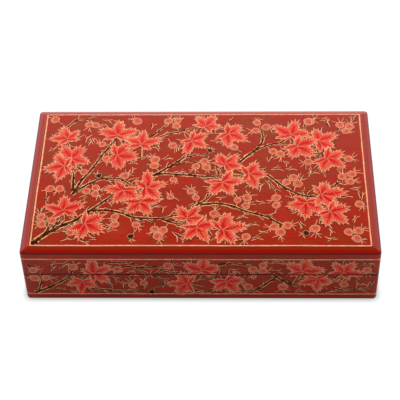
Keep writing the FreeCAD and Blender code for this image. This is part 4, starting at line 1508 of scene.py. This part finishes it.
@dataclass
class Padding:
    """A velvet pad or lining: a crowned, soft-edged slab in the place of its CAD solid."""

    node: str
    body: Body
    fill: float
    step: float = 4.0
    round_share: float = 0.42
    slack: float = 0.10
    crown_reach: float = 9.0
    deepest_share: float = 0.35
    seed: int = 5

    def build(self) -> bpy.types.Object:
        """Makes the padding.

        Returns:
            The piece.
        """
        low, high = (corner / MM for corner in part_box(self.node))
        size = high - low
        thin = min(range(3), key=lambda axis: size[axis])
        made = bmesh.new()
        bmesh.ops.create_cube(made, size=1.0, matrix=Matrix.Diagonal((*size, 1)))
        for axis in range(3):
            if axis == thin:
                continue
            way = Vector((axis == 0, axis == 1, axis == 2))
            cuts = max(2, round(size[axis] / self.step))
            for cut in range(1, cuts):
                spot = way * (size[axis] * (cut / cuts - 0.5))
                slice_mesh(made, spot, way, False)
        self._crown(made, size, thin)
        made.transform(Matrix.Translation((low + high) / 2))
        made.transform(Matrix.Scale(MM, 4))
        piece = finish_piece(f"{self.node}_velvet", made, (VELVET,), self.body)
        self._soften(piece, size[thin])
        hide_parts(self.node)
        return piece

    def _crown(self, made: bmesh.types.BMesh, size: Vector, thin: int) -> None:
        """Draws the slab's rim in and swells its middle, with faint dimples.

        Args:
            made: the slab, round its own middle.
            size: its size.
            thin: the number of its thin axis.
        """
        wide = [axis for axis in range(3) if axis != thin]
        for vert in made.verts:
            gap = min(size[axis] / 2 - abs(vert.co[axis]) for axis in wide)
            rise = 1 - math.exp(-gap / self.crown_reach * 2)
            ripple = noise.noise(vert.co * 0.05 + Vector((0, 0, self.seed))) * 0.5
            sink = size[thin] * (self.slack * (1 - rise) * 2 + self.slack * max(0.0, 0.5 + ripple) * 0.8)
            vert.co[thin] -= math.copysign(min(sink, size[thin] * self.deepest_share), vert.co[thin])

    def _soften(self, piece: bpy.types.Object, thickness: float) -> None:
        """Rounds the rim with a bevel and smooths the slab.

        Args:
            piece: the slab.
            thickness: how thick it is.
        """
        bevel = piece.modifiers.new("soft rim", "BEVEL")
        bevel.width = thickness * self.round_share * MM
        bevel.segments = 3
        bevel.limit_method = "ANGLE"
        bevel.angle_limit = math.radians(40)
        for face in piece.data.polygons:
            face.use_smooth = True


NODE_FINISHES: tuple[tuple[tuple[str, ...], Finish], ...] = (
    (("paper_shell",), RED_LACQUER), (("brads",), IRON_WIRE), (("leaf",), BRASS_SHEET),
    (("nails", "pin"), BRASS_WIRE), (("wall",), BOARD_PAINT), (("pad", "lining"), VELVET),
)


@dataclass
class Carcass:
    """The CAD nodes that stay in sight, each with its own finish."""

    nodes: dict[str, bpy.types.Object]

    @staticmethod
    def finish_of(node: str) -> Finish:
        """Returns the finish of a CAD node, by how its name ends."""
        return next((finish for ends, finish in NODE_FINISHES if node.endswith(ends)), PLAIN_WOOD)

    def dress(self) -> None:
        """Gives every CAD node its finish."""
        for name, node in self.nodes.items():
            node.data.materials.clear()
            node.data.materials.append(self.finish_of(name).material())
        log.info("%d CAD nodes dressed", len(self.nodes))


# The studio: floor, surroundings, lamps and camera.


@dataclass
class Studio:
    """Floor, light and camera; distances in metres here."""

    camera_place: tuple[float, float, float] = (22.43 * MM, -589.52 * MM, 659.11 * MM)
    yaw: float = -2.320
    pitch: float = 47.113
    roll: float = -1.722
    lens: float = 115.73
    floor_half: float = 4.0
    floor_colour: Colour = (0.56, 0.56, 0.56)
    floor_glow: float = 1.03
    floor_gloss: float = 0.8
    # Reach of the painted contact shadow on the floor, in metres.
    contact_reach: float = 0.0045
    sky_low: float = 0.94
    sky_high: float = 0.12
    sky_front: float = 0.64
    sky_gloss: float = 1.9
    haze_low: float = 0.6
    sky_dark: float = 0.04
    backdrop_angles: tuple[float, float] = (51.0, 38.0)
    behind_band: tuple[float, float] = (-0.25, 0.35)
    lamps: tuple[tuple[str, tuple[float, float, float], tuple[float, float], float], ...] = (
        ("key", (0.0, 0.40, 0.50), (0.9, 0.25), 3.3),
        ("left fill", (-0.95, 0.1, 0.75), (0.5, 0.5), 2.2),
        ("right fill", (0.95, -0.05, 0.75), (0.5, 0.5), 1.6),
    )

    def build(self) -> None:
        """Makes the studio."""
        self._camera()
        self._floor()
        self._world()
        for lamp in self.lamps:
            self._lamp(*lamp)
        bpy.context.scene.view_settings.view_transform = "Standard"

    def _camera(self) -> None:
        """Sets the camera at the photograph's place and angle."""
        yaw, pitch, roll = (math.radians(a) for a in (self.yaw, self.pitch, self.roll))
        ahead = Vector((math.sin(yaw) * math.cos(pitch), math.cos(yaw) * math.cos(pitch), -math.sin(pitch)))
        level = Vector((math.cos(yaw), -math.sin(yaw), 0))
        above = level.cross(ahead)
        right = level * math.cos(roll) + above * math.sin(roll)
        up = above * math.cos(roll) - level * math.sin(roll)
        data = bpy.data.cameras.new("camera")
        data.lens = self.lens
        data.sensor_width = 36
        data.clip_start = 0.01
        camera = bpy.data.objects.new("camera", data)
        turned = Matrix((right, up, -ahead)).transposed().to_4x4()
        camera.matrix_world = Matrix.Translation(self.camera_place) @ turned
        bpy.context.scene.collection.objects.link(camera)
        bpy.context.scene.camera = camera

    def _floor(self) -> None:
        """Lays a pale floor that shows white to the camera, with a painted contact shadow round the box that
        an ambient occlusion node darkens in.
        """
        made = bmesh.new()
        bmesh.ops.create_grid(made, x_segments=1, y_segments=1, size=self.floor_half)
        floor = link_mesh("floor", made)
        paper = bpy.data.materials.new("floor paper")
        paper.use_nodes = True
        board = Board(paper.node_tree)
        path = board.node("ShaderNodeLightPath")
        seen = board.wire(path, "Is Camera Ray")
        dim = (1 - seen) * (1 - board.wire(path, "Is Glossy Ray") * (1 - self.floor_gloss))
        shade = board.mix(dim, (0.0, 0.0, 0.0), self.floor_colour)
        matt = board.wire(board.node("ShaderNodeBsdfDiffuse", None, {"Color": shade}))
        # Painted contact shadow: ambient occlusion darkens the floor's glow near the box.
        contact_shadow_ao = board.wire(
            board.node("ShaderNodeAmbientOcclusion", {"samples": 16}, {"Distance": self.contact_reach}), "AO"
        )
        glow = board.wire(
            board.node("ShaderNodeEmission", None, {"Strength": seen * contact_shadow_ao * self.floor_glow})
        )
        both = board.wire(board.node("ShaderNodeAddShader", None, {0: matt, 1: glow}))
        board.node("ShaderNodeOutputMaterial", None, {"Surface": both})
        floor.data.materials.append(paper)

    def _world(self) -> None:
        """Makes the surroundings: a white backdrop behind and beside, dim overhead and in front."""
        world = bpy.data.worlds.new("studio")
        world.use_nodes = True
        bpy.context.scene.world = world
        board = Board(world.node_tree)
        way = board.wire(board.node("ShaderNodeTexCoord"), "Generated")
        _, back, high = board.split(way)
        low = high.ramp(*(math.sin(math.radians(angle)) for angle in self.backdrop_angles))
        behind = back.ramp(*self.behind_band)
        path = board.node("ShaderNodeLightPath")
        gloss = board.wire(path, "Is Glossy Ray")
        haze = high.ramp(0.62, 0.30) * (1 - high.ramp(0.30, 0.10) * (1 - self.haze_low))
        white = self.sky_low + gloss * (self.sky_gloss - self.sky_low) * haze
        dusk = self.sky_high - gloss * (self.sky_high - self.sky_dark)
        level = dusk + low * behind * (white - dusk)
        level = level + (1 - behind) * low * (self.sky_front - dusk)
        seen = board.wire(path, "Is Camera Ray")
        strength = seen + (1 - seen) * level
        glow = board.node("ShaderNodeBackground", None, {"Color": (1.0, 1.0, 1.0), "Strength": strength})
        board.node("ShaderNodeOutputWorld", None, {"Surface": board.wire(glow)})

    def _lamp(
        self, name: str, place: tuple[float, float, float], size: tuple[float, float], power: float
    ) -> None:
        """Hangs a soft lamp that faces the box.

        Args:
            name: its name.
            place: where it hangs.
            size: its width and height.
            power: its power in watts.
        """
        data = bpy.data.lights.new(name, "AREA")
        data.shape = "RECTANGLE"
        data.size, data.size_y = size
        data.energy = power
        lamp = bpy.data.objects.new(name, data)
        lamp.visible_glossy = False
        spot = Vector(place)
        lamp.matrix_world = Matrix.Translation(spot) @ spot.to_track_quat("Z", "Y").to_matrix().to_4x4()
        bpy.context.scene.collection.objects.link(lamp)


@dataclass
class PapierMacheBox:
    """The whole box, dressed."""

    nodes: dict[str, bpy.types.Object]
    sizes: BoxSizes = field(default_factory=BoxSizes)

    def panels(self) -> Iterable[PaintedPanel]:
        """Returns the five painted faces: top, front, back and the two ends."""
        s = self.sizes
        top = Panel(
            "top", (0, 0, s.height), (1, 0, 0), (0, 1, 0),
            s.width - 2 * s.end_inset - s.line_width, s.depth - 2 * s.back_inset - s.line_width,
        )
        yield PaintedPanel(top, TOP_LAYOUT, 11, ((Body.LID, -top.height / 2, top.height / 2),))
        high = s.arris
        middle = high / 2
        splits = (
            (Body.LID, s.lid_rim + s.rim_round - middle, s.lid_line + s.line_width - middle),
            (Body.BASE, s.base_line - s.line_width - middle, s.base_rim - s.rim_round - middle),
        )
        flat_width = s.width - 2 * s.corner_radius
        flat_depth = s.depth - 2 * s.corner_radius
        faces = (
            ("front", (0, -s.half_depth, middle), (1, 0, 0), flat_width, FRONT_LAYOUT, 23),
            ("back", (0, s.half_depth, middle), (-1, 0, 0), flat_width, FRONT_LAYOUT, 37),
            ("left", (-s.half_width, 0, middle), (0, -1, 0), flat_depth, END_LAYOUT, 41),
            ("right", (s.half_width, 0, middle), (0, 1, 0), flat_depth, END_LAYOUT, 53),
        )
        for title, centre, across, wide, layout, seed in faces:
            panel = Panel(title, centre, across, (0, 0, 1), wide, high)
            yield PaintedPanel(panel, layout, seed, splits)

    def build(self) -> None:
        """Builds and dresses everything."""
        Carcass(self.nodes).dress()
        for painted in self.panels():
            painted.build()
        GoldLines(self.sizes).build()
        Padding("base_floor_pad", Body.BASE, fill=0.5).build()
        Padding("lid_ceiling_pad", Body.LID, fill=0.5, seed=9).build()
        for number, side in enumerate(("front", "back", "left", "right")):
            Padding(f"base_{side}_lining", Body.BASE, fill=0.7, slack=0.05, seed=20 + number).build()


def corners(box: tuple[Vector, Vector]) -> list[list[float]]:
    """Returns a box's two corners as plain lists."""
    return [list(corner) for corner in box]


def main() -> None:
    """Builds the studio and the box."""
    logging.basicConfig(level=logging.INFO, format="%(name)s: %(message)s")
    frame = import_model()
    Studio().build()
    PapierMacheBox(frame["nodes"]).build()


if __name__ == "__main__":
    main()
